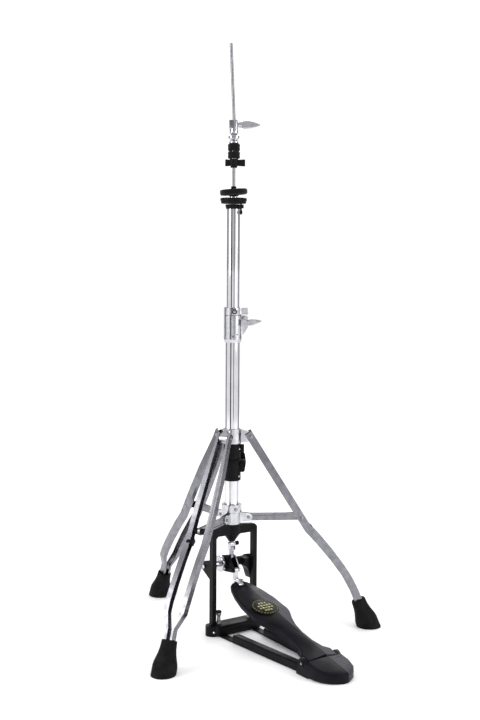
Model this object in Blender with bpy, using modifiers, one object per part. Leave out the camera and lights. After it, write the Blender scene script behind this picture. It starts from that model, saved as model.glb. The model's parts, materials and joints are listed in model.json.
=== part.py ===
"""Hi-hat stand: folding double-braced tripod, telescopic tube, pull rod with clutch, and a pedal.

Metres, +Z up. The pedal points to -Y, the rear leg to +Y, and the stand is symmetric about X = 0
apart from its clamping screws. Sizes are worked out round the tube's axis; the whole stand is then
moved along Y so that the origin is the middle of its footprint on the floor.
"""

import math

import bmesh
import bpy
from mathutils import Matrix, Vector

# Clearances
GAP = 0.0003  # between faces that touch on the real stand
RUNNING = 0.0003  # radial, round pins and in sliding tubes
SIDE_PLAY = 0.0004  # beside a link between its cheeks

# Tubes and pull rod
LOWER_TUBE_R = 0.0143
UPPER_TUBE_R = 0.0127
TUBE_WALL = 0.0012
ROD_R = 0.003
LOWER_TUBE_FOOT = 0.1915
LOWER_TUBE_TOP = 0.606
UPPER_TUBE_FOOT = 0.430
SEAT_HEIGHT = 0.8415  # underside of the bottom cymbal's felt stack
ROD_TOP = 1.1335
ROD_BEND_HEIGHT = 0.992  # the rod's top end leans from here up
ROD_LEAN = math.radians(2.6)
ROD_JOINT = 0.651
SIDE_AZIMUTH = math.radians(-34.9)  # where the wing screws point

# Tripod
LEG_AZIMUTHS = {"left": -150.0, "right": -30.0, "rear": 90.0}
HUB_HEIGHT = 0.385  # leg pivots
HUB_PIVOT_R = 0.035
BRACE_HEIGHT = 0.2255  # brace pivots
BRACE_PIVOT_R = 0.0325
LEG_KNEE_R = 0.149  # where the straight upper stretch of a leg ends
LEG_KNEE_Z = 0.203
STRAP_WIDTH = 0.0155
STRAP_DEPTH = 0.0095
STRAP_WALL = 0.0016
STRAP_SPREAD = 0.0185  # half the distance between the straps' webs at mid-length
STRAP_PROUD = 0.0032  # from the spread line out to the web
PIN_R = 0.003

# Pedal
POST_X = 0.048
POST_WIDTH = 0.009
POST_DEPTH = 0.0115
YOKE_Y = -0.007
YOKE_TOP = 0.2115
YOKE_BAR = 0.0185
BASE_TOP = 0.0205
AXLE_Y = 0.018
AXLE_Z = 0.130
AXLE_R = 0.004
ARM_END = {1: 0.0245, -1: 0.0335}  # where the arms that carry the axle end, right and left
CHAIN_TOP_Z = 0.165
CHAIN_FOOT_Z = 0.145
LINK_TOP = (-0.0145, 0.123)  # Y and Z of the link's pins
LINK_FOOT = (-0.0155, 0.0945)
HINGE_Y = -0.278
HINGE_Z = 0.022
BOARD_TOE_Y = -0.022
BOARD_TOE_Z = 0.1002
BOARD_SLOPE = 0.27
BOARD_WALL = 0.003
BOARD_CROWN = 0.0046  # height of the crease that runs along the board
HEEL_END_Y = -0.350
HEEL_HALF = 0.041
EAR_THICK = 0.006

ROUND = 16  # facets round a tube
SMALL_ROUND = 12
TINY_ROUND = 8

FINISHES = {
    "chrome": ((0.80, 0.81, 0.83), 0.08, 1.0),
    "steel": ((0.55, 0.56, 0.58), 0.30, 1.0),
    "black_paint": ((0.025, 0.024, 0.030), 0.38, 0.0),
    "black_casting": ((0.012, 0.012, 0.014), 0.45, 0.0),
    "black_plastic": ((0.010, 0.010, 0.011), 0.50, 0.0),
    "rubber": ((0.008, 0.008, 0.009), 0.75, 0.0),
    "felt": ((0.012, 0.012, 0.013), 0.95, 0.0),
}


# Scene and placing


def clear_scene():
    """Removes whatever the file opened with."""
    for obj in list(bpy.data.objects):
        bpy.data.objects.remove(obj, do_unlink=True)


def collection(name):
    """A collection linked to the scene."""
    made = bpy.data.collections.new(name)
    bpy.context.scene.collection.children.link(made)
    return made


def make_materials():
    """One Principled material for each finish."""
    made = {}
    for name, (colour, roughness, metallic) in FINISHES.items():
        material = bpy.data.materials.new(name)
        material.use_nodes = True
        shader = material.node_tree.nodes["Principled BSDF"]
        shader.inputs["Base Color"].default_value = (*colour, 1.0)
        shader.inputs["Roughness"].default_value = roughness
        shader.inputs["Metallic"].default_value = metallic
        made[name] = material
    return made


clear_scene()
PARTS = collection("hi_hat_stand")
CUTTERS = collection("cutters")
MATERIALS = make_materials()


def empty(name, parent=None, at=(0, 0, 0), azimuth=0.0):
    """An axis or a turned frame that pieces hang on."""
    made = bpy.data.objects.new(name, None)
    made.empty_display_size = 0.01
    PARTS.objects.link(made)
    made.parent = parent
    made.location = Vector(at) - place_of(parent)
    made.rotation_euler.z = azimuth
    if name.endswith("_axis"):
        made["place"] = list(at)
    return made


def place_of(parent):
    """Where a joint's empty stands in its frame: what hangs on it is placed in that same frame."""
    return Vector(parent["place"]) if parent and "place" in parent else Vector()


def piece(name, data, finish, axis, at=(0, 0, 0), turn=(0, 0, 0)):
    """A named sub-part. Its place is given in the frame that holds its axis empty."""
    made = bpy.data.objects.new(name, data)
    if finish:
        PARTS.objects.link(made)
        data.materials.append(MATERIALS[finish])
    else:
        CUTTERS.objects.link(made)
        made.hide_render = True
        made.display_type = "WIRE"
    made.parent = axis
    made.location = Vector(at) - place_of(axis)
    made.rotation_euler = turn
    return made


def boolean(target, operation, other):
    """Adds one exact Boolean to a piece."""
    modifier = target.modifiers.new(other.name, "BOOLEAN")
    modifier.operation = operation
    modifier.solver = "EXACT"
    modifier.object = other


def cut(target, *cutters):
    """Takes the cutters away from a piece."""
    for cutter in cutters:
        boolean(target, "DIFFERENCE", cutter)


def fuse(target, *others):
    """Joins shapes into one piece."""
    for other in others:
        boolean(target, "UNION", other)


# Shapes


def smooth(mesh, degrees=35):
    """Rounds the shading and keeps the real edges sharp."""
    mesh.shade_smooth()
    mesh.set_sharp_from_angle(angle=math.radians(degrees))


def mesh_of(name, shape):
    """Turns a bmesh into a mesh with its faces pointing out."""
    bmesh.ops.recalc_face_normals(shape, faces=shape.faces)
    mesh = bpy.data.meshes.new(name)
    shape.to_mesh(mesh)
    shape.free()
    return mesh


def block(name, finish, axis, low, high, bevel=0.0, segments=2):
    """A box between two corners, with its edges rounded."""
    low, high = Vector(low), Vector(high)
    shape = bmesh.new()
    bmesh.ops.create_cube(shape, size=1.0)
    bmesh.ops.scale(shape, vec=high - low, verts=shape.verts)
    made = piece(name, mesh_of(name, shape), finish, axis, (low + high) / 2)
    if bevel:
        modifier = made.modifiers.new("edges", "BEVEL")
        modifier.width = bevel
        modifier.segments = segments
    return made


AXIS_TURNS = {"x": (0, math.pi / 2, 0), "y": (-math.pi / 2, 0, 0), "z": (0, 0, 0)}


def cylinder(name, finish, axis, along, start, end, radius, centre=(0, 0), facets=SMALL_ROUND, tip=None):
    """A round bar along one axis from start to end; tip is the far end's radius on a cone."""
    shape = bmesh.new()
    bmesh.ops.create_cone(
        shape,
        cap_ends=True,
        segments=facets,
        radius1=radius,
        radius2=radius if tip is None else tip,
        depth=end - start,
    )
    mesh = mesh_of(name, shape)
    smooth(mesh)
    middle = (start + end) / 2
    a, b = centre
    at = {"x": (middle, a, b), "y": (a, middle, b), "z": (a, b, middle)}[along]
    return piece(name, mesh, finish, axis, at, AXIS_TURNS[along])


def turned(name, finish, axis, outline, at=(0, 0, 0), turn=(0, 0, 0), facets=ROUND):
    """A profile of radius and height, run down its outer side, turned round Z."""
    mesh = bpy.data.meshes.new(name)
    last = len(outline) - 1
    edges = [(i, i + 1) for i in range(last)]
    if outline[0][0] > 0:
        edges.append((last, 0))
    mesh.from_pydata([(r, 0, z) for r, z in outline], edges, [])
    made = piece(name, mesh, finish, axis, at, turn)
    screw = made.modifiers.new("turn", "SCREW")
    screw.steps = facets
    screw.render_steps = facets
    screw.use_merge_vertices = True
    screw.merge_threshold = 0.00001
    screw.use_smooth_shade = True
    return made


def ring(outer, inner, top, foot, chamfer=0.0):
    """A turned outline of a plain sleeve."""
    if not chamfer:
        return [(outer, top), (outer, foot), (inner, foot), (inner, top)]
    return [
        (outer - chamfer, top),
        (outer, top - chamfer),
        (outer, foot + chamfer),
        (outer - chamfer, foot),
        (inner, foot),
        (inner, top),
    ]


def arc(centre, radius, start, end, steps):
    """Points of an arc, angles in degrees."""
    for i in range(steps + 1):
        angle = math.radians(start + (end - start) * i / steps)
        yield (centre[0] + radius * math.cos(angle), centre[1] + radius * math.sin(angle))


def wrapped(circles, steps=20):
    """The outline of a band stretched round circles of (centre, radius)."""
    points = sorted({p for c, r in circles for p in arc(c, r, 0, 360 - 360 / steps, steps - 1)})

    def half(ordered):
        kept = []
        for p in ordered:
            while len(kept) > 1 and turn_of(kept[-2], kept[-1], p) <= 0:
                kept.pop()
            kept.append(p)
        return kept[:-1]

    return half(points) + half(points[::-1])


def turn_of(a, b, c):
    """Positive where a, b, c turn to the left."""
    return (b[0] - a[0]) * (c[1] - a[1]) - (b[1] - a[1]) * (c[0] - a[0])


FACING_X = (math.pi / 2, 0, math.pi / 2)  # an outline of Y and Z
FACING_Y = (math.pi / 2, 0, 0)  # an outline of X and Z


def plate(name, finish, axis, outlines, thickness, at=(0, 0, 0), turn=FACING_X):
    """A flat plate: the first outline is its edge and any others are holes."""
    curve = bpy.data.curves.new(name, "CURVE")
    curve.dimensions = "2D"
    curve.fill_mode = "BOTH"
    curve.extrude = thickness / 2
    for outline in outlines:
        spline = curve.splines.new("POLY")
        spline.points.add(len(outline) - 1)
        for point, (a, b) in zip(spline.points, outline):
            point.co = (a, b, 0, 1)
        spline.use_cyclic_u = True
    drawn = bpy.data.objects.new(name + "_outline", curve)
    bpy.context.scene.collection.objects.link(drawn)
    bpy.context.view_layer.update()
    graph = bpy.context.evaluated_depsgraph_get()
    mesh = bpy.data.meshes.new_from_object(drawn.evaluated_get(graph))
    bpy.data.objects.remove(drawn)
    shape = bmesh.new()
    shape.from_mesh(mesh)
    bmesh.ops.remove_doubles(shape, verts=shape.verts, dist=0.00001)
    return piece(name, mesh_of(name, shape), finish, axis, at, turn)


def loft(name, finish, axis, sections, at=(0, 0, 0)):
    """A solid through closed sections that have the same number of points."""
    shape = bmesh.new()
    loops = [[shape.verts.new(p) for p in section] for section in sections]
    count = len(loops[0])
    for near, far in zip(loops, loops[1:]):
        for i in range(count):
            j = (i + 1) % count
            shape.faces.new((near[i], near[j], far[j], far[i]))
    shape.faces.new(loops[0])
    shape.faces.new(loops[-1])
    return piece(name, mesh_of(name, shape), finish, axis, at)


def wire(name, finish, axis, points, radius, resolution=2):
    """A round bar or spring along points, with filled ends."""
    curve = bpy.data.curves.new(name, "CURVE")
    curve.dimensions = "3D"
    curve.bevel_depth = radius
    curve.bevel_resolution = resolution
    curve.use_fill_caps = True
    spline = curve.splines.new("POLY")
    spline.points.add(len(points) - 1)
    for point, (x, y, z) in zip(spline.points, points):
        point.co = (x, y, z, 1)
    return piece(name, curve, finish, axis)


def leaf(name, axis, centre, root, length, height, thickness, rise=0.0):
    """A wing-screw lever: a flat spear along +X from its root, thin across Y, rising towards its tip."""
    x0, y0, z0 = centre
    sections = []
    for share, tall, thick in (
        (0.0, 0.55, 1.0), (0.18, 0.95, 1.0), (0.4, 1.0, 0.9), (0.7, 0.72, 0.8), (1.0, 0.2, 0.6)
    ):
        x = x0 + root + length * share
        z = z0 + rise * share
        a, b = height * tall / 2, thickness * thick / 2
        profile = (
            (-b, -a * 0.7), (-b * 0.4, -a), (b * 0.4, -a), (b, -a * 0.7), (b, a * 0.7), (b * 0.4, a),
            (-b * 0.4, a), (-b, a * 0.7),
        )
        sections.append([(x, y0 + y, z + dz) for y, dz in profile])
    return loft(name, None, axis, sections)


# Tubes, clamps and pull rod


def build_tubes(stand):
    """The two tubes and what is fixed to the lower one."""
    bore = LOWER_TUBE_R - TUBE_WALL
    turned("lower_tube", "chrome", stand, ring(LOWER_TUBE_R, bore, LOWER_TUBE_TOP, LOWER_TUBE_FOOT))
    seat_top = LOWER_TUBE_FOOT + 0.020
    turned(
        "spring_seat", "steel", stand, ring(bore - 0.0006, ROD_R + 0.001, seat_top, LOWER_TUBE_FOOT + 0.014)
    )
    return seat_top


def build_height_clamp(stand, side):
    """The split clamp at the lower tube's top, its bush and its wing bolt."""
    foot, top, outer = 0.568, 0.6197, LOWER_TUBE_R + 0.0032
    bore = LOWER_TUBE_R + GAP
    profile = [(outer, top), (outer, foot + 0.006), (bore + 0.0012, foot), (bore, foot), (bore, top)]
    clamp = turned("height_clamp", "chrome", side, profile)
    bolt_x, bolt_z = LOWER_TUBE_R + 0.0073, 0.606
    root, end = LOWER_TUBE_R + 0.0012, LOWER_TUBE_R + 0.0147
    ears = [
        (root, top), (end - 0.002, top), (end, top - 0.003), (end, 0.598), (end - 0.008, 0.585),
        (root, 0.582),
    ]
    fuse(clamp, plate("clamp_ears", None, side, [ears], 0.0175, turn=FACING_Y))
    split = block("clamp_split", None, side, (0.011, -0.0012, foot - 0.01), (0.040, 0.0012, top + 0.01))
    hole = cylinder("clamp_hole", None, side, "y", -0.02, 0.02, 0.0033, (bolt_x, bolt_z))
    cut(clamp, split, hole)
    turned(
        "clamp_bush", "black_plastic", stand,
        ring(LOWER_TUBE_R, UPPER_TUBE_R + RUNNING, top, LOWER_TUBE_TOP + GAP),
    )
    axis = empty("clamp_wing_axis", side, (bolt_x, 0, bolt_z))
    wing = cylinder("clamp_wing", "chrome", axis, "y", -0.0158, 0.0125, PIN_R, (bolt_x, bolt_z))
    hub = cylinder("clamp_wing_hub", None, axis, "y", -0.0158, -0.0091, 0.0065, (bolt_x, bolt_z), ROUND)
    lever = leaf("clamp_wing_leaf", axis, (bolt_x, -0.0124, bolt_z), 0.003, 0.030, 0.0115, 0.0055, 0.004)
    fuse(wing, hub, lever)
    return top


def build_memory_lock(side, clamp_top):
    """The ring that remembers the height, resting on the clamp."""
    foot, top = clamp_top + GAP, clamp_top + 0.0160
    axis = empty("memory_lock_axis", side, (0, 0, foot))
    lock = turned("memory_lock", "chrome", axis, ring(0.0175, UPPER_TUBE_R + RUNNING, top, foot, 0.001))
    ears = [(0.015, top - 0.001), (0.028, top - 0.001), (0.029, foot + 0.002), (0.015, foot + 0.002)]
    fuse(lock, plate("memory_ears", None, axis, [ears], 0.012, turn=FACING_Y))
    boss = cylinder("memory_boss", None, axis, "y", -0.0205, -0.015, 0.0055, (0.003, (foot + top) / 2))
    fuse(lock, boss)
    cut(lock, block("memory_split", None, axis, (0.011, -0.001, foot - 0.01), (0.040, 0.001, top + 0.01)))
    return top


def build_rod(stand, rod_axis, spring_foot):
    """The pull rod in two lengths, its coupling, the return spring and the clevis below."""
    clevis_top = 0.1755
    rod_foot = clevis_top - 0.0065
    cylinder(
        "lower_pull_rod", "steel", rod_axis, "z", rod_foot, ROD_JOINT - 0.0005, ROD_R, facets=TINY_ROUND,
    )
    turned(
        "rod_coupling", "steel", rod_axis,
        ring(0.006, ROD_R + RUNNING, ROD_JOINT + 0.014, ROD_JOINT - 0.013, 0.001), facets=SMALL_ROUND,
    )
    lean = Vector((-math.cos(SIDE_AZIMUTH), -math.sin(SIDE_AZIMUTH), 0)) * math.tan(ROD_LEAN)
    heights = [
        ROD_JOINT + 0.0005, ROD_BEND_HEIGHT, ROD_BEND_HEIGHT + 0.012, ROD_BEND_HEIGHT + 0.026, ROD_TOP,
    ]
    shares = [0.0, 0.0, 0.25, 0.6, 1.0]
    points = [Vector((0, 0, heights[0]))]
    for height, share in zip(heights[1:], shares[1:]):
        rise = height - points[-1].z
        points.append(points[-1] + Vector((0, 0, rise)) + lean * rise * share)
    wire("upper_pull_rod", "steel", rod_axis, points, ROD_R, 2)

    cap_foot = 0.318
    turned(
        "spring_cap", "steel", rod_axis,
        ring(0.0108, ROD_R + RUNNING, cap_foot + 0.005, cap_foot, 0.0008), facets=SMALL_ROUND,
    )
    wire_r, coil_r, turns, per_turn = 0.0011, 0.0085, 7, 8
    low, high = spring_foot + GAP + wire_r, cap_foot - GAP - wire_r
    count = turns * per_turn
    coil = []
    for i in range(count + 1):
        angle = 2 * math.pi * i / per_turn
        rise = low + (high - low) * i / count
        coil.append((coil_r * math.cos(angle), coil_r * math.sin(angle), rise))
    wire("return_spring", "steel", stand, coil, wire_r, 1)

    half, foot = 0.0070, 0.1595
    clevis = block(
        "rod_clevis", "chrome", rod_axis, (-half, -0.0052, foot), (half, 0.0052, clevis_top), 0.0014,
    )
    slot = block("clevis_slot", None, rod_axis, (-0.0047, -0.01, foot - 0.005), (0.0047, 0.01, 0.1683))
    cut(
        clevis, slot,
        cylinder("clevis_bore", None, rod_axis, "z", 0.166, 0.18, ROD_R + RUNNING, facets=TINY_ROUND),
    )
    screw = cylinder(
        "clevis_screw", "black_paint", rod_axis, "x", half + GAP, half + 0.0032, 0.0030, (0, 0.1718),
    )
    fuse(
        screw,
        cylinder(
            "clevis_screw_head", None, rod_axis, "x", half + 0.003, half + 0.0082, 0.0042, (0, 0.1718),
        ),
    )


# Bottom cymbal's seat


def build_upper_tube(height_axis):
    """The sliding tube with the seat's base on top."""
    top = SEAT_HEIGHT - 0.012
    turned(
        "upper_tube", "chrome", height_axis,
        ring(UPPER_TUBE_R, UPPER_TUBE_R - TUBE_WALL, top, UPPER_TUBE_FOOT),
    )
    base_top, base_foot = SEAT_HEIGHT - 0.0100, SEAT_HEIGHT - 0.0185
    profile = [
        (0.0155, base_top), (0.0162, base_top - 0.002), (0.0150, base_foot + 0.002), (0.0142, base_foot),
        (UPPER_TUBE_R + GAP, base_foot), (UPPER_TUBE_R + GAP, top + GAP), (ROD_R + 0.0022, top + GAP),
        (ROD_R + 0.0022, base_top),
    ]
    base = turned("seat_base", "black_casting", height_axis, profile)
    return base, base_top, base_foot


def build_seat(height_axis):
    """The tilting cup and felt that the bottom cymbal rests on, and its tilt screw."""
    base, base_top, base_foot = build_upper_tube(height_axis)
    screw_azimuth = SIDE_AZIMUTH - math.radians(40)
    screw_r = 0.0185
    place = (screw_r * math.cos(screw_azimuth), screw_r * math.sin(screw_azimuth))
    lug = cylinder("seat_lug", None, height_axis, "z", base_foot + 0.001, base_top - 0.0005, 0.0052, place)
    fuse(base, lug)
    cut(
        base,
        cylinder(
            "seat_lug_bore", None, height_axis, "z", base_foot - 0.01, base_top + 0.01, 0.0019, place,
            TINY_ROUND,
        ),
    )

    pivot_z = SEAT_HEIGHT - 0.004
    tilt = empty("seat_tilt_axis", height_axis, (0, 0, pivot_z))
    cup_foot, cup_top = SEAT_HEIGHT - 0.0083, SEAT_HEIGHT + 0.0025
    sleeve_r, sleeve_bore, sleeve_top = 0.0053, 0.0046, SEAT_HEIGHT + 0.0245
    profile = [
        (sleeve_r, sleeve_top), (sleeve_r, cup_top), (0.0240, cup_top), (0.0255, cup_top - 0.0015),
        (0.0255, cup_top - 0.0050), (0.0244, cup_top - 0.0056), (0.0244, cup_foot + 0.002),
        (0.0225, cup_foot),
        (sleeve_bore, cup_foot), (sleeve_bore, sleeve_top),
    ]
    turned("seat_cup", "black_plastic", tilt, profile)
    turned("seat_washer", "chrome", tilt, ring(0.0075, sleeve_r + RUNNING, cup_top + 0.0022, cup_top + GAP))
    felt_mid = SEAT_HEIGHT + 0.0135
    outline = [
        (0.0080, 0.0055), (0.0240, 0.0055), (0.0262, 0.0035), (0.0262, -0.0030), (0.0235, -0.0052),
        (0.0100, -0.0060), (0.0078, -0.0080), (0.0064, -0.0080), (0.0064, 0.0055),
    ]
    lift = Matrix.Rotation(
        math.radians(-4.0), 3, Vector((-math.sin(SIDE_AZIMUTH), math.cos(SIDE_AZIMUTH), 0)),
    )
    turned("seat_felt", "felt", tilt, outline, (0, 0, felt_mid), lift.to_euler())

    screw_axis = empty("tilt_screw_axis", height_axis, (*place, base_foot))
    stem_top = cup_foot - 0.0004
    tip = SEAT_HEIGHT - 0.0295
    profile = [
        (0, stem_top), (0.0016, stem_top), (0.0016, tip + 0.0085), (0.0024, tip + 0.0078),
        (0.0030, tip + 0.0035), (0.0018, tip + 0.0006), (0, tip),
    ]
    turned("tilt_screw", "black_plastic", screw_axis, profile, (*place, 0), facets=TINY_ROUND)


# Clutch


def build_clutch(rod_axis):
    """The clutch that grips the rod and holds the top cymbal between two felts."""
    axis = empty("clutch_axis", rod_axis, (0, 0, 0.951))
    bore, sleeve = 0.0044, 0.0054
    body = [
        (0.0066, 0.9907), (0.0076, 0.9895), (0.0076, 0.9735), (0.0085, 0.9725), (0.0085, 0.9655),
        (0.0055, 0.9622),
        (0.0060, 0.9606), (0.0110, 0.9602), (0.0110, 0.9562), (0.0072, 0.9517), (sleeve, 0.9513),
        (sleeve, 0.9022), (bore, 0.9022), (bore, 0.9907),
    ]
    made = turned("clutch_body", "chrome", axis, body)
    side_frame = empty("clutch_side_frame", axis, (0, 0, 0), SIDE_AZIMUTH)
    screw_z = 0.9815
    head = block(
        "clutch_head", None, side_frame, (-0.0100, -0.0072, 0.9737), (0.0052, 0.0072, 0.9905), 0.0020,
    )
    cut(head, cylinder("clutch_head_bore", None, side_frame, "z", 0.96, 1.0, 0.0060))
    fuse(made, head)
    cut(
        made,
        cylinder(
            "clutch_screw_bore", None, side_frame, "x", 0.003, 0.012, 0.0031, (0, screw_z), TINY_ROUND,
        ),
    )
    turned("clutch_washer", "chrome", axis, ring(0.0095, sleeve + GAP, 0.9508, 0.9466, 0.0012))
    for name, top, foot in (("clutch_felt_upper", 0.9463, 0.9322), ("clutch_felt_lower", 0.9317, 0.9180)):
        middle = (top + foot) / 2
        outline = [
            (0.0105, top), (0.01165, top - 0.003), (0.0112, middle), (0.01165, foot + 0.003),
            (0.0105, foot),
            (sleeve + GAP, foot), (sleeve + GAP, top),
        ]
        turned(name, "felt", axis, outline)

    wing_axis = empty("clutch_wing_axis", side_frame, (0.0079, 0, screw_z))
    wing = cylinder(
        "clutch_wing", "chrome", wing_axis, "x", 0.0045, 0.0090, 0.0028, (0, screw_z), TINY_ROUND,
    )
    neck = cylinder(
        "clutch_wing_neck", None, wing_axis, "x", 0.0080, 0.0145, 0.0046, (0, screw_z), tip=0.0056,
    )
    lever = leaf("clutch_wing_leaf", wing_axis, (0, 0, screw_z), 0.0125, 0.0365, 0.0150, 0.0060)
    fuse(wing, neck, lever)

    nut_axis = empty("clutch_nut_axis", axis, (0, 0, 0.911))
    nut = [
        (0.0078, 0.9174), (0.0084, 0.9160), (0.0084, 0.9055), (0.0064, 0.9040), (0.0064, 0.9012),
        (sleeve + GAP, 0.9012), (sleeve + GAP, 0.9174),
    ]
    nut_frame = empty("clutch_nut_frame", nut_axis, (0, 0, 0), SIDE_AZIMUTH)
    made = turned("clutch_bottom_nut", "black_plastic", nut_frame, nut)
    for sign, reach in ((1, 0.0215), (-1, 0.0165)):
        outline = [
            (sign * 0.0068, 0.9160), (sign * (reach - 0.001), 0.9167), (sign * reach, 0.9157),
            (sign * reach, 0.9048), (sign * (reach - 0.001), 0.9038), (sign * 0.0068, 0.9045),
        ]
        fuse(made, plate(f"clutch_nut_wing_{sign}", None, nut_frame, [outline], 0.0068, turn=FACING_Y))


# Tripod


def leg_stations():
    """Points of a leg's centreline: distance from the tube's axis, height and half-spread of its straps.

    The leg is straight to its knee, bows outwards below it and turns down into the foot.
    """
    top = 0.0105
    spread = STRAP_SPREAD
    near_foot = 0.0052
    slope = (LEG_KNEE_R - HUB_PIVOT_R) / (HUB_HEIGHT - LEG_KNEE_Z)
    over = 0.0075
    return [
        (HUB_PIVOT_R - slope * over, HUB_HEIGHT + over, top),
        (HUB_PIVOT_R + slope * 0.014, HUB_HEIGHT - 0.014, top),
        (HUB_PIVOT_R + slope * 0.075, HUB_HEIGHT - 0.075, spread * 0.9),
        (HUB_PIVOT_R + slope * 0.135, HUB_HEIGHT - 0.135, spread),
        (LEG_KNEE_R, LEG_KNEE_Z, spread),
        (LEG_KNEE_R + 0.022, LEG_KNEE_Z - 0.0235, spread),
        (LEG_KNEE_R + 0.050, LEG_KNEE_Z - 0.0570, spread),
        (LEG_KNEE_R + 0.073, LEG_KNEE_Z - 0.0880, spread),
        (LEG_KNEE_R + 0.083, LEG_KNEE_Z - 0.1045, spread * 0.96),
        (LEG_KNEE_R + 0.096, LEG_KNEE_Z - 0.1295, near_foot),
        (LEG_KNEE_R + 0.103, LEG_KNEE_Z - 0.1460, near_foot),
        (LEG_KNEE_R + 0.110, LEG_KNEE_Z - 0.1630, near_foot),
    ]


def strap_depth(spread):
    """The straps are pressed flatter where they close up."""
    return STRAP_DEPTH if spread > STRAP_SPREAD * 0.8 else 0.0046


def strap_sections(side):
    """Channel sections along a leg, open towards the other strap; side is 1 or -1."""
    stations = leg_stations()
    sections = []
    for i, (r, z, spread) in enumerate(stations):
        before, after = stations[max(i - 1, 0)], stations[min(i + 1, len(stations) - 1)]
        along = Vector((after[0] - before[0], 0, after[1] - before[1])).normalized()
        across = Vector((-along.z, 0, along.x))
        half, wall = STRAP_WIDTH / 2, STRAP_WALL
        depth = strap_depth(spread)
        outer = spread + STRAP_PROUD
        inner = outer - depth
        channel = (
            (-half, outer), (half, outer), (half, inner), (half - wall, inner),
            (half - wall, outer - wall), (wall - half, outer - wall), (wall - half, inner), (-half, inner),
        )
        sections.append([Vector((r, side * t, z)) + across * a for a, t in channel])
    return sections


def build_leg(hub_axis, name, azimuth):
    """One double-braced leg with its rubber foot, hung on its pivot at the hub."""
    frame = empty(f"{name}_leg_frame", hub_axis, (0, 0, 0), azimuth)
    axis = empty(f"{name}_leg_axis", frame, (HUB_PIVOT_R, 0, HUB_HEIGHT))
    brace_r = brace_pin_r()
    for side, tag in ((1, "a"), (-1, "b")):
        strap = loft(f"leg_{name}_strap_{tag}", "chrome", axis, strap_sections(side))
        start, end = sorted((side * 0.004, side * 0.030))
        hub_hole = cylinder(
            f"{name}_hub_hole_{tag}", None, axis, "y", start, end, PIN_R + RUNNING,
            (HUB_PIVOT_R, HUB_HEIGHT),
        )
        cut(strap, hub_hole)
        web = STRAP_SPREAD + STRAP_PROUD
        near, far = sorted((side * (web - STRAP_DEPTH), side * (web - STRAP_WALL / 2)))
        fuse(
            strap,
            cylinder(f"{name}_brace_pin_{tag}", None, axis, "y", near, far, PIN_R, (brace_r, BRACE_HEIGHT)),
        )
    build_foot(axis, name)


def build_foot(axis, name):
    """A rubber boot over the ends of a leg's straps, cut flat where it stands."""
    stations = leg_stations()
    (r1, z1, _), (r2, z2, _) = stations[-2], stations[-1]
    down = Vector((r2 - r1, 0, z2 - z1)).normalized()
    mouth = Vector((LEG_KNEE_R + 0.0985, 0, LEG_KNEE_Z - 0.1345)) + down * 0.014
    turn = down.to_track_quat("-Z", "Y").to_euler()
    profile = [
        (0.0133, 0.0), (0.0142, -0.002), (0.0150, -0.014), (0.0168, -0.024), (0.0193, -0.032),
        (0.0215, -0.039), (0.0225, -0.046), (0.0225, -0.076), (0, -0.076),
    ]
    outline = [(0, 0.0)] + profile
    foot = turned(f"rubber_foot_{name}", "rubber", axis, outline, mouth, turn)
    pocket = block(f"{name}_foot_pocket", None, axis, (-0.0091, -0.0083, -0.0205), (0.0091, 0.0083, 0.01))
    pocket.location = mouth + down * 0.00525 - place_of(axis)
    pocket.rotation_euler = turn
    floor = block(f"{name}_foot_floor", None, axis, (0.15, -0.06, -0.1), (0.40, 0.06, 0.0))
    cut(foot, pocket, floor)


def brace_pin_r():
    """Distance from the tube's axis to the pin that joins a leg to its brace."""
    slope = (LEG_KNEE_R - HUB_PIVOT_R) / (HUB_HEIGHT - LEG_KNEE_Z)
    return HUB_PIVOT_R + slope * (HUB_HEIGHT - BRACE_HEIGHT)


def build_brace(stand, name, azimuth):
    """A flat bar from the lower hub to a leg, with both of its cross pins."""
    frame = empty(f"{name}_brace_frame", stand, (0, 0, 0), azimuth)
    axis = empty(f"{name}_brace_axis", frame, (BRACE_PIVOT_R, 0, BRACE_HEIGHT))
    half, far = 0.0075, brace_pin_r()
    band = list(
        arc((BRACE_PIVOT_R, BRACE_HEIGHT), half, 90, 270, 8)
    ) + list(arc((far, BRACE_HEIGHT), half, -90, 90, 8))
    brace = plate(f"brace_{name}", "chrome", axis, [band], 0.0050, turn=FACING_Y)
    inner_pin = cylinder(
        f"{name}_inner_pin", None, axis, "y", -0.0072, 0.0072, PIN_R, (BRACE_PIVOT_R, BRACE_HEIGHT),
    )
    reach = STRAP_SPREAD + STRAP_PROUD - STRAP_DEPTH - SIDE_PLAY
    outer_pin = cylinder(f"{name}_outer_pin", None, axis, "y", -reach, reach, PIN_R, (far, BRACE_HEIGHT))
    fuse(brace, inner_pin, outer_pin)


def build_upper_hub(hub_axis):
    """The sliding hub that carries the legs, with a pin through each ear."""
    top, foot = 0.4008, 0.3708
    bore = LOWER_TUBE_R + RUNNING
    hub = turned("upper_hub", "chrome", hub_axis, ring(LOWER_TUBE_R + 0.0037, bore, top, foot, 0.001))
    for name, degrees in LEG_AZIMUTHS.items():
        frame = empty(f"{name}_hub_frame", hub_axis, (0, 0, 0), math.radians(degrees))
        reach = 0.0066
        ear = [
            (LOWER_TUBE_R + 0.0022, top - 0.002), (HUB_PIVOT_R - 0.002, HUB_HEIGHT + reach + 0.002),
            *arc((HUB_PIVOT_R, HUB_HEIGHT), reach + 0.001, 60, -75, 6), (HUB_PIVOT_R - 0.006, foot + 0.004),
            (LOWER_TUBE_R + 0.0022, foot + 0.002),
        ]
        pad = plate(f"{name}_hub_ear", None, frame, [ear], 0.0160, turn=FACING_Y)
        pin = cylinder(
            f"{name}_hub_pin", None, frame, "y", -0.0146, 0.0146, PIN_R, (HUB_PIVOT_R, HUB_HEIGHT),
        )
        fuse(hub, pad, pin)
    cut(hub, cylinder("hub_bore", None, hub_axis, "z", foot - 0.02, top + 0.02, bore, facets=ROUND))
    return foot


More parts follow.
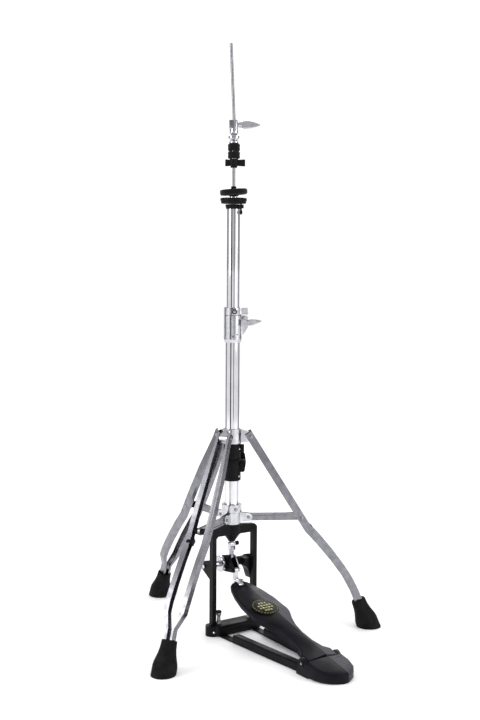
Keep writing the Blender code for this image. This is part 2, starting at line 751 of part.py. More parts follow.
def build_leg_lock(hub_axis, hub_side, hub_foot):
    """The black clamp under the upper hub that locks the legs' spread, with its wing nut."""
    bore = LOWER_TUBE_R + RUNNING
    collar_foot = 0.3405
    collar = turned(
        "leg_lock_collar", "black_plastic", hub_axis,
        ring(LOWER_TUBE_R + 0.0023, bore, hub_foot - GAP, collar_foot, 0.001),
    )
    pad = block(
        "collar_pad", None, hub_side, (LOWER_TUBE_R + 0.0005, -0.0055, 0.3540),
        (LOWER_TUBE_R + 0.0092, 0.0055, 0.3690), 0.001,
    )
    fuse(collar, pad)
    top, foot = collar_foot - GAP, 0.2985
    body = turned(
        "leg_lock_body", "black_plastic", hub_axis, ring(LOWER_TUBE_R + 0.0030, bore, top, foot, 0.0015),
    )
    lug = block(
        "lock_lug", None, hub_side, (LOWER_TUBE_R + 0.0005, -0.0070, 0.316),
        (LOWER_TUBE_R + 0.0102, 0.0122, 0.339), 0.001,
    )
    fuse(body, lug)
    bolt_x, bolt_z = LOWER_TUBE_R + 0.0052, 0.3305
    cut(
        body, block("lock_split", None, hub_side, (0.011, -0.001, foot - 0.01), (0.040, 0.001, top + 0.002)),
    )
    cut(body, cylinder("lock_hole", None, hub_side, "y", -0.02, 0.02, 0.0033, (bolt_x, bolt_z)))
    axis = empty("lock_wing_axis", hub_side, (bolt_x, 0, bolt_z))
    wing = cylinder("leg_lock_wing", "black_plastic", axis, "y", -0.0105, 0.0200, PIN_R, (bolt_x, bolt_z))
    hub = cylinder("lock_wing_hub", None, axis, "y", 0.0125, 0.0235, 0.0058, (bolt_x, bolt_z))
    half = 0.0200
    blade = wrapped(
        [
            ((bolt_x, bolt_z + half - 0.006), 0.0060), ((bolt_x, bolt_z), 0.0078),
            ((bolt_x, bolt_z - half + 0.006), 0.0060),
        ],
    )
    fuse(wing, hub, plate("lock_wing_blade", None, axis, [blade], 0.0050, (0, 0.0210, 0), FACING_Y))


def build_lower_hub(stand):
    """The fixed hub that carries the braces, between two plates at each brace."""
    collar_top, collar_foot, foot = 0.2525, 0.2365, YOKE_TOP + 0.001 + GAP
    bore, body_r, collar_r = LOWER_TUBE_R + GAP, LOWER_TUBE_R + 0.0027, LOWER_TUBE_R + 0.0054
    profile = [
        (collar_r - 0.001, collar_top), (collar_r, collar_top - 0.001), (collar_r, collar_foot),
        (body_r, collar_foot - 0.001), (body_r, foot), (bore, foot), (bore, collar_top),
    ]
    hub = turned("lower_hub", "chrome", stand, profile)
    for name, degrees in LEG_AZIMUTHS.items():
        frame = empty(f"{name}_lower_frame", stand, (0, 0, 0), math.radians(degrees))
        root = LOWER_TUBE_R + 0.0012
        ear = [
            (root, BRACE_HEIGHT + 0.0095), (BRACE_PIVOT_R, BRACE_HEIGHT + 0.0078),
            *arc((BRACE_PIVOT_R, BRACE_HEIGHT), 0.0078, 75, -75, 6), (BRACE_PIVOT_R, BRACE_HEIGHT - 0.0078),
            (root, BRACE_HEIGHT - 0.0095),
        ]
        hole = list(arc((BRACE_PIVOT_R, BRACE_HEIGHT), PIN_R + RUNNING, 0, 330, 11))
        for sign in (1, -1):
            offset = sign * (0.0025 + SIDE_PLAY + 0.00125)
            ear_plate = plate(
                f"{name}_lower_ear_{sign}", None, frame, [ear, hole], 0.0025, (0, offset, 0), FACING_Y,
            )
            fuse(hub, ear_plate)
    towards = empty("hub_screw_frame", stand, (0, 0, 0), SIDE_AZIMUTH - math.radians(65))
    screw_z = 0.2432
    cut(
        hub,
        cylinder(
            "hub_screw_bore", None, towards, "x", body_r, body_r + 0.013, 0.0036, (0, screw_z), TINY_ROUND,
        ),
    )
    screw_foot, screw_top = body_r + 0.0004, collar_r + 0.0018
    head = [
        (0, screw_top), (0.0026, screw_top), (0.0032, screw_top - 0.0006), (0.0032, screw_foot),
        (0, screw_foot),
    ]
    turned("hub_screw", "steel", towards, head, (0, 0, screw_z), (0, math.pi / 2, 0), TINY_ROUND)


# Pedal


def build_yoke(stand):
    """The cast frame over the pedal: two posts, a bar that holds the tube, and the axle's ears."""
    outer, inner = POST_X + POST_WIDTH / 2, POST_X - POST_WIDTH / 2
    bar_foot = YOKE_TOP - YOKE_BAR
    foot = BASE_TOP + GAP
    edge = [
        (-outer, foot), (-inner, foot), (-inner, bar_foot - 0.004), (-inner + 0.004, bar_foot),
        (inner - 0.004, bar_foot),
        (inner, bar_foot - 0.004), (inner, foot), (outer, foot), (outer, YOKE_TOP - 0.008),
        (outer - 0.005, YOKE_TOP - 0.003), (0.020, YOKE_TOP), (-0.020, YOKE_TOP),
        (-outer + 0.005, YOKE_TOP - 0.003), (-outer, YOKE_TOP - 0.008),
    ]
    yoke = plate("yoke", "black_casting", stand, [edge], POST_DEPTH, (0, YOKE_Y, 0), FACING_Y)
    tube_bore, boss_r = LOWER_TUBE_R + GAP, LOWER_TUBE_R + 0.0032
    boss = turned(
        "yoke_boss", None, stand,
        [(0, YOKE_TOP + 0.001), (boss_r, YOKE_TOP + 0.001), (boss_r, bar_foot),
         (boss_r - 0.002, bar_foot - 0.002),
         (0.0075, 0.1795), (0.0065, 0.1775), (0, 0.1775)],
    )
    fuse(yoke, boss)
    for sign in (1, -1):
        ear = wrapped(
            [
                ((AXLE_Y, AXLE_Z), 0.0105), ((YOKE_Y, AXLE_Z + 0.012), 0.0050),
                ((YOKE_Y, AXLE_Z - 0.020), 0.0050),
            ],
        )
        ear_plate = plate(f"axle_ear_{sign}", None, stand, [ear], 0.0070, (sign * POST_X, 0, 0))
        start, end = sorted((sign * (POST_X - 0.003), sign * ARM_END[sign]))
        arm = cylinder(f"axle_boss_{sign}", None, stand, "x", start, end, 0.0088, (AXLE_Y, AXLE_Z))
        fuse(yoke, ear_plate, arm)
    near, root = ARM_END[1] + 0.007, inner + 0.002
    rib = [
        (root, AXLE_Z + 0.0100), (near, AXLE_Z + 0.0075), (near, AXLE_Z - 0.0075),
        (near + 0.005, AXLE_Z - 0.0115),
        (inner - 0.0035, AXLE_Z - 0.0185), (inner - 0.0012, AXLE_Z - 0.0270), (root, AXLE_Z - 0.0340),
    ]
    fuse(yoke, plate("axle_rib", None, stand, [rib], 0.0190, (0, 0.0065, 0), FACING_Y))
    rod_hole = cylinder("yoke_rod_hole", None, stand, "z", 0.17, 0.20, ROD_R + 0.0008, facets=TINY_ROUND)
    socket = cylinder(
        "yoke_socket", None, stand, "z", LOWER_TUBE_FOOT - GAP, YOKE_TOP + 0.02, tube_bore, facets=ROUND,
    )
    axle_hole = cylinder(
        "yoke_axle_hole", None, stand, "x", -0.07, 0.07, AXLE_R + RUNNING, (AXLE_Y, AXLE_Z),
    )
    cut(yoke, rod_hole, socket, axle_hole)


def build_base(stand):
    """The casting on the floor under the posts, the two side rails and the spur bolts."""
    half = POST_X + POST_WIDTH / 2
    front, back = -0.030, 0.009
    bar = block(
        "base_crossbar", "black_casting", stand, (-half, front, 0.0), (half, back, BASE_TOP), 0.0060, 3,
    )
    for sign in (1, -1):
        lobe = cylinder(
            f"base_lobe_{sign}", None, stand, "z", 0.0, BASE_TOP - 0.0012, 0.0140, (sign * 0.0495, -0.0085),
        )
        fuse(bar, lobe)
    spur_x, spur_y = 0.0365, -0.0105
    for sign, name in ((-1, "left"), (1, "right")):
        place = (sign * spur_x, spur_y)
        cut(
            bar,
            cylinder(
                f"spur_bore_{name}", None, stand, "z", -0.01, 0.04, PIN_R + RUNNING, place, TINY_ROUND,
            ),
        )
        axis = empty(f"spur_{name}_axis", stand, (*place, BASE_TOP))
        profile = [
            (0, 0.0435), (0.0044, 0.0435), (0.0052, 0.0425), (0.0052, 0.0385), (0.0037, 0.0370),
            (0.0034, 0.0320),
            (0.0042, 0.0260), (0.0062, BASE_TOP + 0.0016), (0.0062, BASE_TOP + GAP),
            (PIN_R, BASE_TOP + GAP),
            (PIN_R, 0.0050), (0, 0.0010),
        ]
        turned(f"spur_bolt_{name}", "chrome", axis, profile, (*place, 0), facets=TINY_ROUND)
        build_rail(stand, name, sign, front)


def build_rail(stand, name, sign, crossbar_front):
    """An inverted channel from the crossbar to the heel plate, with a thin tongue at the crossbar."""
    width, height, wall, foot = 0.0170, 0.0150, 0.0022, 0.0005
    outer_front, outer_back = 0.0470, 0.0345
    tongue_y, channel_y, heel_y = crossbar_front - GAP, -0.070, HINGE_Y + 0.0155

    def outer_at(y):
        share = (y - tongue_y) / (heel_y - tongue_y)
        return outer_front + (outer_back - outer_front) * share

    sections = []
    for y in (channel_y, heel_y):
        a, b, top = outer_at(y), outer_at(y) - width, foot + height
        channel = (
            (a, foot), (a, top - 0.002), (a - 0.002, top), (b + 0.002, top), (b, top - 0.002), (b, foot),
            (b + wall, foot), (b + wall, top - wall), (a - wall, top - wall), (a - wall, foot),
        )
        sections.append([(sign * x, y, z) for x, z in channel])
    rail = loft(f"side_rail_{name}", "black_casting", stand, sections)
    tongue = []
    for y in (tongue_y, channel_y - 0.025):
        a, b = outer_at(y) - 0.0008, outer_at(y) - width + 0.0008
        tongue.append(
            [(sign * x, y, z) for x, z in ((a, foot), (a, foot + 0.0030), (b, foot + 0.0030), (b, foot))]
        )
    fuse(rail, loft(f"rail_tongue_{name}", None, stand, tongue))


def build_heel(stand):
    """The heel plate with its two hinge ears, and the hinge pin."""
    slab_top, front, step_y = 0.0095, HINGE_Y + 0.0150, HINGE_Y - 0.0145
    stations = (
        (step_y, 1.0, 0.0290), (-0.312, 1.0, 0.0250), (-0.328, 0.88, 0.0215), (-0.340, 0.64, 0.0185),
        (-0.3465, 0.40, 0.0165), (HEEL_END_Y, 0.14, 0.0145),
    )
    sections = []
    for y, share, top in stations:
        half = HEEL_HALF * share
        edge, skirt = min(0.004, half * 0.3), 0.0035
        profile = (
            (-half, skirt), (-half, top - edge), (edge - half, top), (0, top + 0.0015), (half - edge, top),
            (half, top - edge), (half, skirt), (half - edge, 0.0), (edge - half, 0.0),
        )
        sections.append([(x, y, z) for x, z in profile])
    heel = loft("heel_plate", "black_paint", stand, sections)
    slab = block("heel_slab", None, stand, (-HEEL_HALF, step_y - 0.002, 0.0), (HEEL_HALF, front, slab_top))
    fuse(heel, slab)
    ear_mid = HEEL_HALF - EAR_THICK / 2
    ear_outline = wrapped(
        [((HINGE_Y, HINGE_Z), 0.0102), ((HINGE_Y + 0.008, 0.006), 0.005), ((step_y, 0.010), 0.009)]
    )
    hole = list(arc((HINGE_Y, HINGE_Z), 0.0025 + RUNNING, 0, 330, 11))
    for sign in (1, -1):
        fuse(
            heel,
            plate(f"heel_ear_{sign}", None, stand, [ear_outline, hole], EAR_THICK, (sign * ear_mid, 0, 0)),
        )
    cylinder(
        "heel_pin", "steel", stand, "x", -HEEL_HALF - 0.0016, HEEL_HALF + 0.0016, 0.0025,
        (HINGE_Y, HINGE_Z), TINY_ROUND,
    )


def board_top(y):
    """Height of the footboard's top face at Y."""
    return BOARD_TOE_Z + BOARD_SLOPE * (y - BOARD_TOE_Y)


def build_footboard(axis):
    """The pressed footboard: a shaped top with side walls that deepen towards the hinge."""
    hinge_half = HEEL_HALF - EAR_THICK - SIDE_PLAY
    stations = (
        (BOARD_TOE_Y, 0.0125, 0.0065), (-0.0255, 0.0195, 0.0075), (-0.036, 0.0255, 0.0085),
        (-0.060, 0.0335, 0.0095),
        (-0.090, 0.0395, 0.0105), (-0.130, 0.0410, 0.0115), (-0.138, 0.0395, 0.0120),
        (-0.158, 0.0295, 0.0140),
        (-0.180, 0.0215, 0.0165), (-0.207, 0.0180, 0.0180), (-0.236, 0.0190, 0.0180),
        (-0.258, 0.0250, 0.0170),
        (HINGE_Y + 0.010, hinge_half, 0.0160), (HINGE_Y - 0.0095, hinge_half, 0.0165),
    )
    sections = []
    for y, half, depth in stations:
        top = board_top(y)
        foot, wall, edge = top - depth, BOARD_WALL, 0.0030
        crown = BOARD_CROWN * min(1.0, 0.25 + (BOARD_TOE_Y - y) / 0.040)
        profile = (
            (-half, foot), (-half, top - edge), (edge - half, top), (-half * 0.3, top + crown * 0.55),
            (0.006, top + crown),
            (half * 0.55, top + crown * 0.35), (half - edge, top), (half, top - edge), (half, foot),
            (half - wall, foot),
            (half - wall, top - wall), (wall - half, top - wall), (wall - half, foot),
        )
        sections.append([(x, y, z) for x, z in profile])
    board = loft("footboard", "black_paint", axis, sections)
    cut(
        board,
        cylinder(
            "board_hinge_bore", None, axis, "x", -0.06, 0.06, 0.0025 + RUNNING, (HINGE_Y, HINGE_Z),
            TINY_ROUND,
        ),
    )

    ear_in, thick = 0.0047, 0.0025
    shelf = board_top(BOARD_TOE_Y) + 0.0025
    clip = block(
        "toe_clip", "chrome", axis, (-ear_in - thick, -0.0335, shelf),
        (ear_in + thick, -0.0203, shelf + 0.0036), 0.0006,
    )
    for sign in (1, -1):
        outline = wrapped([(LINK_FOOT, 0.0045), ((-0.0200, shelf + 0.0018), 0.0016)])
        fuse(
            clip,
            plate(f"clip_ear_{sign}", None, axis, [outline], thick, (sign * (ear_in + thick / 2), 0, 0)),
        )


def build_linkage(board_axis, rocker_axis, rod_axis):
    """The rocker on its axle, the chain up to the rod and the link down to the footboard."""
    cheek_in = 0.0052
    axle_centre = (AXLE_Y, AXLE_Z)
    cheek = wrapped([(axle_centre, 0.0160), ((0.0, CHAIN_FOOT_Z), 0.0052), (LINK_TOP, 0.0052)])
    hole = list(arc(axle_centre, AXLE_R + RUNNING, 0, 337.5, 15))
    for sign, name in ((-1, "left"), (1, "right")):
        made = plate(
            f"rocker_cheek_{name}", "chrome", rocker_axis, [cheek, hole], 0.0026,
            (sign * (cheek_in + 0.0013), 0, 0),
        )
        for tag, centre in (("chain", (0.0, CHAIN_FOOT_Z)), ("link", LINK_TOP)):
            start, end = sorted((sign * (cheek_in + 0.001), sign * (cheek_in + 0.0050)))
            fuse(
                made,
                cylinder(
                    f"rocker_{tag}_head_{name}", None, rocker_axis, "x", start, end, 0.0030, centre,
                    TINY_ROUND,
                ),
            )
    core = cylinder(
        "rocker_cam", "black_casting", rocker_axis, "x", -cheek_in + GAP, cheek_in - GAP, 0.0140,
        axle_centre, ROUND,
    )
    cut(core, cylinder("rocker_bore", None, rocker_axis, "x", -0.02, 0.02, AXLE_R + RUNNING, axle_centre))

    end, sleeve_r, dial_r = POST_X + 0.0065, 0.0062, 0.0165
    dial_near, dial_far = cheek_in + 0.0058, cheek_in + 0.0125
    profile = [
        (0, end), (AXLE_R, end), (AXLE_R, ARM_END[1] - 0.0005), (sleeve_r, ARM_END[1] - 0.0005),
        (sleeve_r, cheek_in + 0.0032),
        (AXLE_R, cheek_in + 0.0032), (AXLE_R, -dial_near), (dial_r - 0.001, -dial_near),
        (dial_r, -dial_near - 0.001),
        (dial_r, -dial_far + 0.001), (dial_r - 0.001, -dial_far), (0.0060, -dial_far),
        (0.0060, 0.0005 - ARM_END[-1]),
        (AXLE_R, 0.0005 - ARM_END[-1]), (AXLE_R, -end), (0, -end),
    ]
    turned(
        "rocker_axle", "chrome", rocker_axis, profile, (0, *axle_centre), (0, math.pi / 2, 0), SMALL_ROUND,
    )

    build_chain(empty("chain_axis", rod_axis, (0, 0, CHAIN_TOP_Z)))

    link_axis = empty("link_axis", board_axis, (0, *LINK_FOOT))
    outline = wrapped([(LINK_FOOT, 0.0044), (LINK_TOP, 0.0044)])
    link = plate("footboard_link", "chrome", link_axis, [outline], 0.0080)
    for tag, centre in (("foot", LINK_FOOT), ("top", LINK_TOP)):
        fuse(
            link,
            cylinder(f"link_pin_{tag}", None, link_axis, "x", -0.0043, 0.0043, 0.0022, centre, TINY_ROUND),
        )


def build_chain(axis):
    """A short roller chain as one piece, hung on its top pin."""
    count = 3
    pitch = (CHAIN_TOP_Z - CHAIN_FOOT_Z) / count
    chain = cylinder(
        "drive_chain", "steel", axis, "x", -0.0043, 0.0043, 0.0013, (0, CHAIN_TOP_Z), TINY_ROUND,
    )
    for i in range(count):
        top = CHAIN_TOP_Z - pitch * i
        foot = top - pitch
        radius, thickness = (0.0030, 0.0072) if i % 2 else (0.0026, 0.0050)
        outline = wrapped([((0, top), radius), ((0, foot), radius)], 14)
        fuse(chain, plate(f"chain_link_{i}", None, axis, [outline], thickness))
    fuse(chain, cylinder("chain_foot_pin", None, axis, "x", -0.0043, 0.0043, 0.0013, (0, foot), TINY_ROUND))


# The whole stand


def centre_on_floor(stand):
    """Moves the stand along Y so that its footprint's middle is at the origin."""
    bpy.context.view_layer.update()
    graph = bpy.context.evaluated_depsgraph_get()
    low, high = math.inf, -math.inf
    for obj in PARTS.objects:
        if obj.type == "EMPTY":
            continue
        evaluated = obj.evaluated_get(graph)
        for vertex in evaluated.to_mesh().vertices:
            y = (evaluated.matrix_world @ vertex.co).y
            low, high = min(low, y), max(high, y)
        evaluated.to_mesh_clear()
    stand.location.y = -(low + high) / 2
    bpy.context.view_layer.update()


def build_stand():
    """Builds every sub-part and centres the stand."""
    stand = empty("stand_frame")
    side = empty("side_frame", stand, (0, 0, 0), SIDE_AZIMUTH)
    rod_axis = empty("pull_rod_axis", stand, (0, 0, CHAIN_TOP_Z))
    height_axis = empty("height_axis", stand, (0, 0, UPPER_TUBE_FOOT))
    hub_axis = empty("hub_slide_axis", stand, (0, 0, HUB_HEIGHT))
    hub_side = empty("hub_side_frame", hub_axis, (0, 0, 0), SIDE_AZIMUTH)
    board_axis = empty("footboard_axis", stand, (0, HINGE_Y, HINGE_Z))
    rocker_axis = empty("rocker_axis", stand, (0, AXLE_Y, AXLE_Z))

    spring_foot = build_tubes(stand)
    clamp_top = build_height_clamp(stand, side)
    build_memory_lock(side, clamp_top)
    build_rod(stand, rod_axis, spring_foot)
    build_seat(height_axis)
    build_clutch(rod_axis)
    hub_foot = build_upper_hub(hub_axis)
    build_leg_lock(hub_axis, hub_side, hub_foot)
    build_lower_hub(stand)
    for name, degrees in LEG_AZIMUTHS.items():
        build_leg(hub_axis, name, math.radians(degrees))
        build_brace(stand, name, math.radians(degrees))
    build_yoke(stand)
    build_base(stand)
    build_heel(stand)
    build_footboard(board_axis)
    build_linkage(board_axis, rocker_axis, rod_axis)
    centre_on_floor(stand)


build_stand()
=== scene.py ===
"""Looks of the hi-hat stand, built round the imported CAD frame.

Each sub-assembly is a class that holds its sizes in metres, rebuilds or refines its nodes as finished
pieces and gives them their finish. The CAD bodies carry every piece, so the stand still moves.
"""

import json
import logging
import math
from dataclasses import dataclass, field
from enum import Enum
from typing import Any, Iterable, Sequence

import bmesh
import bpy
from mathutils import Matrix, Vector, noise

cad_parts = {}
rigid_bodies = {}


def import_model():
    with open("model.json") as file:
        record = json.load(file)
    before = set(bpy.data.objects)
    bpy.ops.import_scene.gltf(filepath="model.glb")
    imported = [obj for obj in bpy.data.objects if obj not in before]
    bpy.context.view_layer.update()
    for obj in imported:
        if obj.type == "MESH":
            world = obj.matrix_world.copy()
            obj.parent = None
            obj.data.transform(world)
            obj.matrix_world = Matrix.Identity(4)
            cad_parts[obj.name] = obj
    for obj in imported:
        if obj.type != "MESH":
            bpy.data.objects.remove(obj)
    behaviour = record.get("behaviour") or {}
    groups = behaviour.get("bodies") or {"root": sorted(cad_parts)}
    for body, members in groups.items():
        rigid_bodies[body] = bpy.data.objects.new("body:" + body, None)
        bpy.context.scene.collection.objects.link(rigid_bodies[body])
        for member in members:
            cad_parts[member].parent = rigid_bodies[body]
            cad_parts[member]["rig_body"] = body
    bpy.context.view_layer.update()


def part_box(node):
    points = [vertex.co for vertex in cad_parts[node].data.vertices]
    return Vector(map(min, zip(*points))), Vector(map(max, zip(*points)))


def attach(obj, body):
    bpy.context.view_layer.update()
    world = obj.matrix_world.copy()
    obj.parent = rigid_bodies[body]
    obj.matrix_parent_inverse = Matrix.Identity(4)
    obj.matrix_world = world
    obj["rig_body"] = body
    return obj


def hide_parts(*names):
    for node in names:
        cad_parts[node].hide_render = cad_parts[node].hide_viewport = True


LOG = logging.getLogger("hi_hat_stand")
MM = 0.001
SIDE_AZIMUTH = math.radians(-34.9)  # the side that the wing screws point to
LEG_AZIMUTHS = {"left": math.radians(-150.0), "right": math.radians(-30.0), "rear": math.radians(90.0)}
AXIS_Y = 0.024981  # the tube stands this far behind the middle of the footprint

Outline = Sequence[tuple[float, float]]


class Facing(Enum):
    """Which way a turned or pressed piece points before it is put in place."""

    UP = "z"
    ACROSS = "x"
    ALONG = "y"


# Finishes


def linear(code: str) -> tuple[float, float, float, float]:
    """Turns an sRGB hex colour to linear RGBA.

    Args:
        code: The colour as "#rrggbb".

    Returns:
        Red, green, blue and an alpha of 1.
    """
    parts = [int(code[i : i + 2], 16) / 255 for i in (1, 3, 5)]
    values = [c / 12.92 if c <= 0.04045 else ((c + 0.055) / 1.055) ** 2.4 for c in parts]
    return (values[0], values[1], values[2], 1.0)


def add_node(
    tree: bpy.types.NodeTree, kind: str, links: dict[str, Any] | None = None, **settings: Any,
) -> Any:
    """Adds one shader node.

    Args:
        tree: The material's node tree.
        kind: The node's type name.
        links: What feeds each input: an output socket, or a plain value.
        settings: Attributes of the node itself.

    Returns:
        The new node.
    """
    node = tree.nodes.new(kind)
    for name, value in settings.items():
        setattr(node, name, value)
    for name, value in (links or {}).items():
        socket = node.inputs[int(name)] if name.isdigit() else node.inputs[name]
        if isinstance(value, bpy.types.NodeSocket):
            tree.links.new(value, socket)
        else:
            socket.default_value = value
    return node


def ramp(
    tree: bpy.types.NodeTree, factor: Any, stops: Sequence[tuple[float, tuple[float, float, float, float]]],
) -> Any:
    """Adds a colour ramp.

    Args:
        tree: The material's node tree.
        factor: The socket that drives it.
        stops: Position and colour of each stop, lowest first.

    Returns:
        The ramp's colour output.
    """
    node = add_node(tree, "ShaderNodeValToRGB", {"Fac": factor})
    elements = node.color_ramp.elements
    while len(elements) < len(stops):
        elements.new(0.5)
    for element, (position, colour) in zip(elements, stops):
        element.position = position
        element.color = colour
    return node.outputs["Color"]


def grey(value: float) -> tuple[float, float, float, float]:
    """A linear grey with an alpha of 1."""
    return (value, value, value, 1.0)


@dataclass(frozen=True)
class Finish:
    """A real material and the way its surface was made.

    Attributes:
        name: The material's name.
        light: sRGB hex of its lighter patches.
        dark: sRGB hex of its darker patches.
        metallic: 1 for bare or plated metal.
        roughness: Middle of its roughness.
        spread: How far roughness wanders either way.
        patch_mm: Size of the patches of colour and gloss.
        grain_mm: Size of the surface's grain.
        depth_mm: Height of that grain.
        sheen: Soft edge light of loose fibres.
        coat: Clear lacquer over the colour.
        gloss: Strength of the surface reflection of paint, rubber, felt and plastic.
        slot: The record's material slot; not used.
    """

    name: str
    light: str
    dark: str
    metallic: float
    roughness: float
    spread: float
    patch_mm: float
    grain_mm: float
    depth_mm: float
    slot: str
    sheen: float = 0.0
    coat: float = 0.0
    gloss: float = 0.10

    def material(self) -> bpy.types.Material:
        """Returns the finish's material, made on first use."""
        found = bpy.data.materials.get(self.name)
        if found:
            return found
        material = bpy.data.materials.new(self.name)
        material.use_nodes = True
        tree = material.node_tree
        shader = tree.nodes["Principled BSDF"]
        shader.inputs["Metallic"].default_value = self.metallic
        shader.inputs["Specular IOR Level"].default_value = 0.5 if self.metallic else self.gloss
        shader.inputs["Sheen Weight"].default_value = self.sheen
        shader.inputs["Sheen Roughness"].default_value = 0.5
        shader.inputs["Coat Weight"].default_value = self.coat
        shader.inputs["Coat Roughness"].default_value = 0.12
        where = add_node(tree, "ShaderNodeTexCoord").outputs["Object"]
        colour, rough, height = self.layers(tree, where)
        tree.links.new(colour, shader.inputs["Base Color"])
        tree.links.new(rough, shader.inputs["Roughness"])
        bump = add_node(
            tree, "ShaderNodeBump", {"Strength": 1.0, "Distance": self.depth_mm * MM, "Height": height},
        )
        tree.links.new(bump.outputs["Normal"], shader.inputs["Normal"])
        return material

    def layers(self, tree: bpy.types.NodeTree, where: Any) -> tuple[Any, Any, Any]:
        """Builds the patches and the grain.

        Args:
            tree: The material's node tree.
            where: Object coordinates.

        Returns:
            Sockets of colour, roughness and height.
        """
        patches = self.cloud(tree, where, self.patch_mm, 3.0)
        colour = ramp(tree, patches, ((0.35, linear(self.dark)), (0.65, linear(self.light))))
        low, high = self.roughness - self.spread, self.roughness + self.spread
        rough = ramp(tree, patches, ((0.30, grey(high)), (0.70, grey(low))))
        return colour, rough, self.cloud(tree, where, self.grain_mm, 2.0)

    def cloud(self, tree: bpy.types.NodeTree, where: Any, size_mm: float, detail: float) -> Any:
        """Returns the output of a noise whose blobs measure size_mm, from coordinates where."""
        links = {"Vector": where, "Scale": 1.0 / (size_mm * MM), "Detail": detail, "Roughness": 0.55}
        return add_node(tree, "ShaderNodeTexNoise", links).outputs["Fac"]


@dataclass(frozen=True)
class DrawnFinish(Finish):
    """Steel drawn through a die or polished lengthwise: its grain is stretched along Z."""

    stretch: float = 40.0

    def layers(self, tree: bpy.types.NodeTree, where: Any) -> tuple[Any, Any, Any]:
        """Builds the same layers from coordinates squeezed along Z (see Finish.layers)."""
        links = {"Vector": where, "Scale": (1.0, 1.0, 1.0 / self.stretch)}
        squeezed = add_node(tree, "ShaderNodeMapping", links, vector_type="POINT").outputs["Vector"]
        colour, rough, _ = Finish.layers(self, tree, where)
        return colour, rough, self.cloud(tree, squeezed, self.grain_mm, 2.0)


@dataclass(frozen=True)
class BoardFinish(Finish):
    """Charcoal powder coat whose grip band, on the +X side of the board's crease, has a stippled grain and
    is painted lighter as the side of the ridge that faces the light, with a dark line of painted shade along
    the crease.
    """

    # Lighter colour of the band: its stipple, and painted light on the lit side of the ridge.
    lit_side_stipple_colour: str = "#47454e"
    # Half width of the dark line of painted shade along the crease.
    crease_shade_half_width: float = 0.0014
    crease_x: float = 0.006
    stipple_mm: float = 1.5

    def layers(self, tree: bpy.types.NodeTree, where: Any) -> tuple[Any, Any, Any]:
        """Adds the stippled band, painted lighter as the lit side of the crease, and a dark line of painted
        shade along the crease to the plain coat (see Finish.layers).
        """
        colour, rough, height = Finish.layers(self, tree, where)
        across = add_node(tree, "ShaderNodeSeparateXYZ", {"Vector": where}).outputs["X"]
        edge = {"Value": across, "1": self.crease_x - 0.0003, "2": self.crease_x + 0.0003}
        band = add_node(tree, "ShaderNodeMapRange", edge).outputs["Result"]
        cells = {"Vector": where, "Scale": 1.0 / (self.stipple_mm * MM), "Randomness": 0.35}
        dots = add_node(tree, "ShaderNodeTexVoronoi", cells).outputs["Distance"]
        # The band's lighter colour is partly its stippled grip and partly painted light on the side of the
        # ridge that faces the light.
        stippled_lit_side = ramp(tree, dots, ((0.30, linear(self.lit_side_stipple_colour)), (0.75, linear(self.dark))))
        banded = add_node(
            tree, "ShaderNodeMix", {"Factor": band, "6": colour, "7": stippled_lit_side}, data_type="RGBA",
        )
        # A dark line of painted shade along the crease.
        away = {"0": across, "1": self.crease_x, "2": self.crease_shade_half_width}
        line = add_node(tree, "ShaderNodeMath", away, operation="COMPARE").outputs[0]
        shade = {"Factor": line, "6": banded.outputs[2], "7": linear("#050506")}
        mixed = add_node(tree, "ShaderNodeMix", shade, data_type="RGBA")
        raised = add_node(tree, "ShaderNodeMath", {"0": band, "1": dots}, operation="MULTIPLY").outputs[0]
        summed = add_node(
            tree, "ShaderNodeMath", {"0": height, "1": raised}, operation="SUBTRACT",
        ).outputs[0]
        return mixed.outputs[2], rough, summed


# Chrome plate on polished steel tube: a mirror with a faint ripple of the polishing under it.
CHROME = Finish(
    "chrome_plate_on_polished_steel", "#dddde0", "#d0d0d4", 1.0, 0.05, 0.02, 30, 8.0, 0.003, "chrome",
)
# Chrome plate on a die casting: the skin of the casting softens the mirror and leaves it slightly wavy.
CAST_CHROME = Finish(
    "chrome_plate_on_die_casting", "#cdcdd1", "#b8b8bd", 1.0, 0.19, 0.05, 9, 3.0, 0.020, "chrome",
)
# Chrome plate on pressed strip: long ripples left by the press and the polishing wheel.
PRESSED_CHROME = Finish(
    "chrome_plate_on_pressed_strip", "#8e8e93", "#7e7e84", 1.0, 0.27, 0.05, 12, 2.0, 0.010, "chrome",
)
# Bright steel rod, drawn: fine lengthwise lines and a dull shine.
DRAWN_STEEL = DrawnFinish(
    "bright_drawn_steel", "#98989c", "#8c8c90", 1.0, 0.32, 0.02, 18, 0.9, 0.0002, "steel",
)
# Zinc-plated steel of the chain and small screws: bluish grey, cloudy.
ZINC_STEEL = Finish("zinc_plated_steel", "#a9abb2", "#84868e", 1.0, 0.30, 0.08, 5, 0.8, 0.010, "steel")
# Satin black powder coat on castings: even orange peel about a millimetre across.
BLACK_COAT = Finish(
    "satin_black_powder_coat", "#101013", "#0a0a0c", 0.0, 0.40, 0.05, 20, 1.1, 0.030, "black_casting",
)
# Charcoal powder coat on the pressed footboard, with its stippled grip band painted lighter as the lit side
# of the ridge, and painted shade along the crease.
BOARD_COAT = BoardFinish(
    "charcoal_powder_coat", "#15141a", "#0d0c11", 0.0, 0.42, 0.06, 26, 1.1, 0.030, "black_paint",
)
# Glass-filled nylon, moulded with a spark-eroded texture.
NYLON = Finish(
    "moulded_black_nylon", "#111113", "#09090a", 0.0, 0.48, 0.06, 10, 0.6, 0.025, "black_plastic",
)
# Moulded rubber: nearly matt, with a faint grey bloom.
RUBBER = Finish("moulded_black_rubber", "#141416", "#0b0b0c", 0.0, 0.62, 0.08, 12, 0.9, 0.040, "rubber")
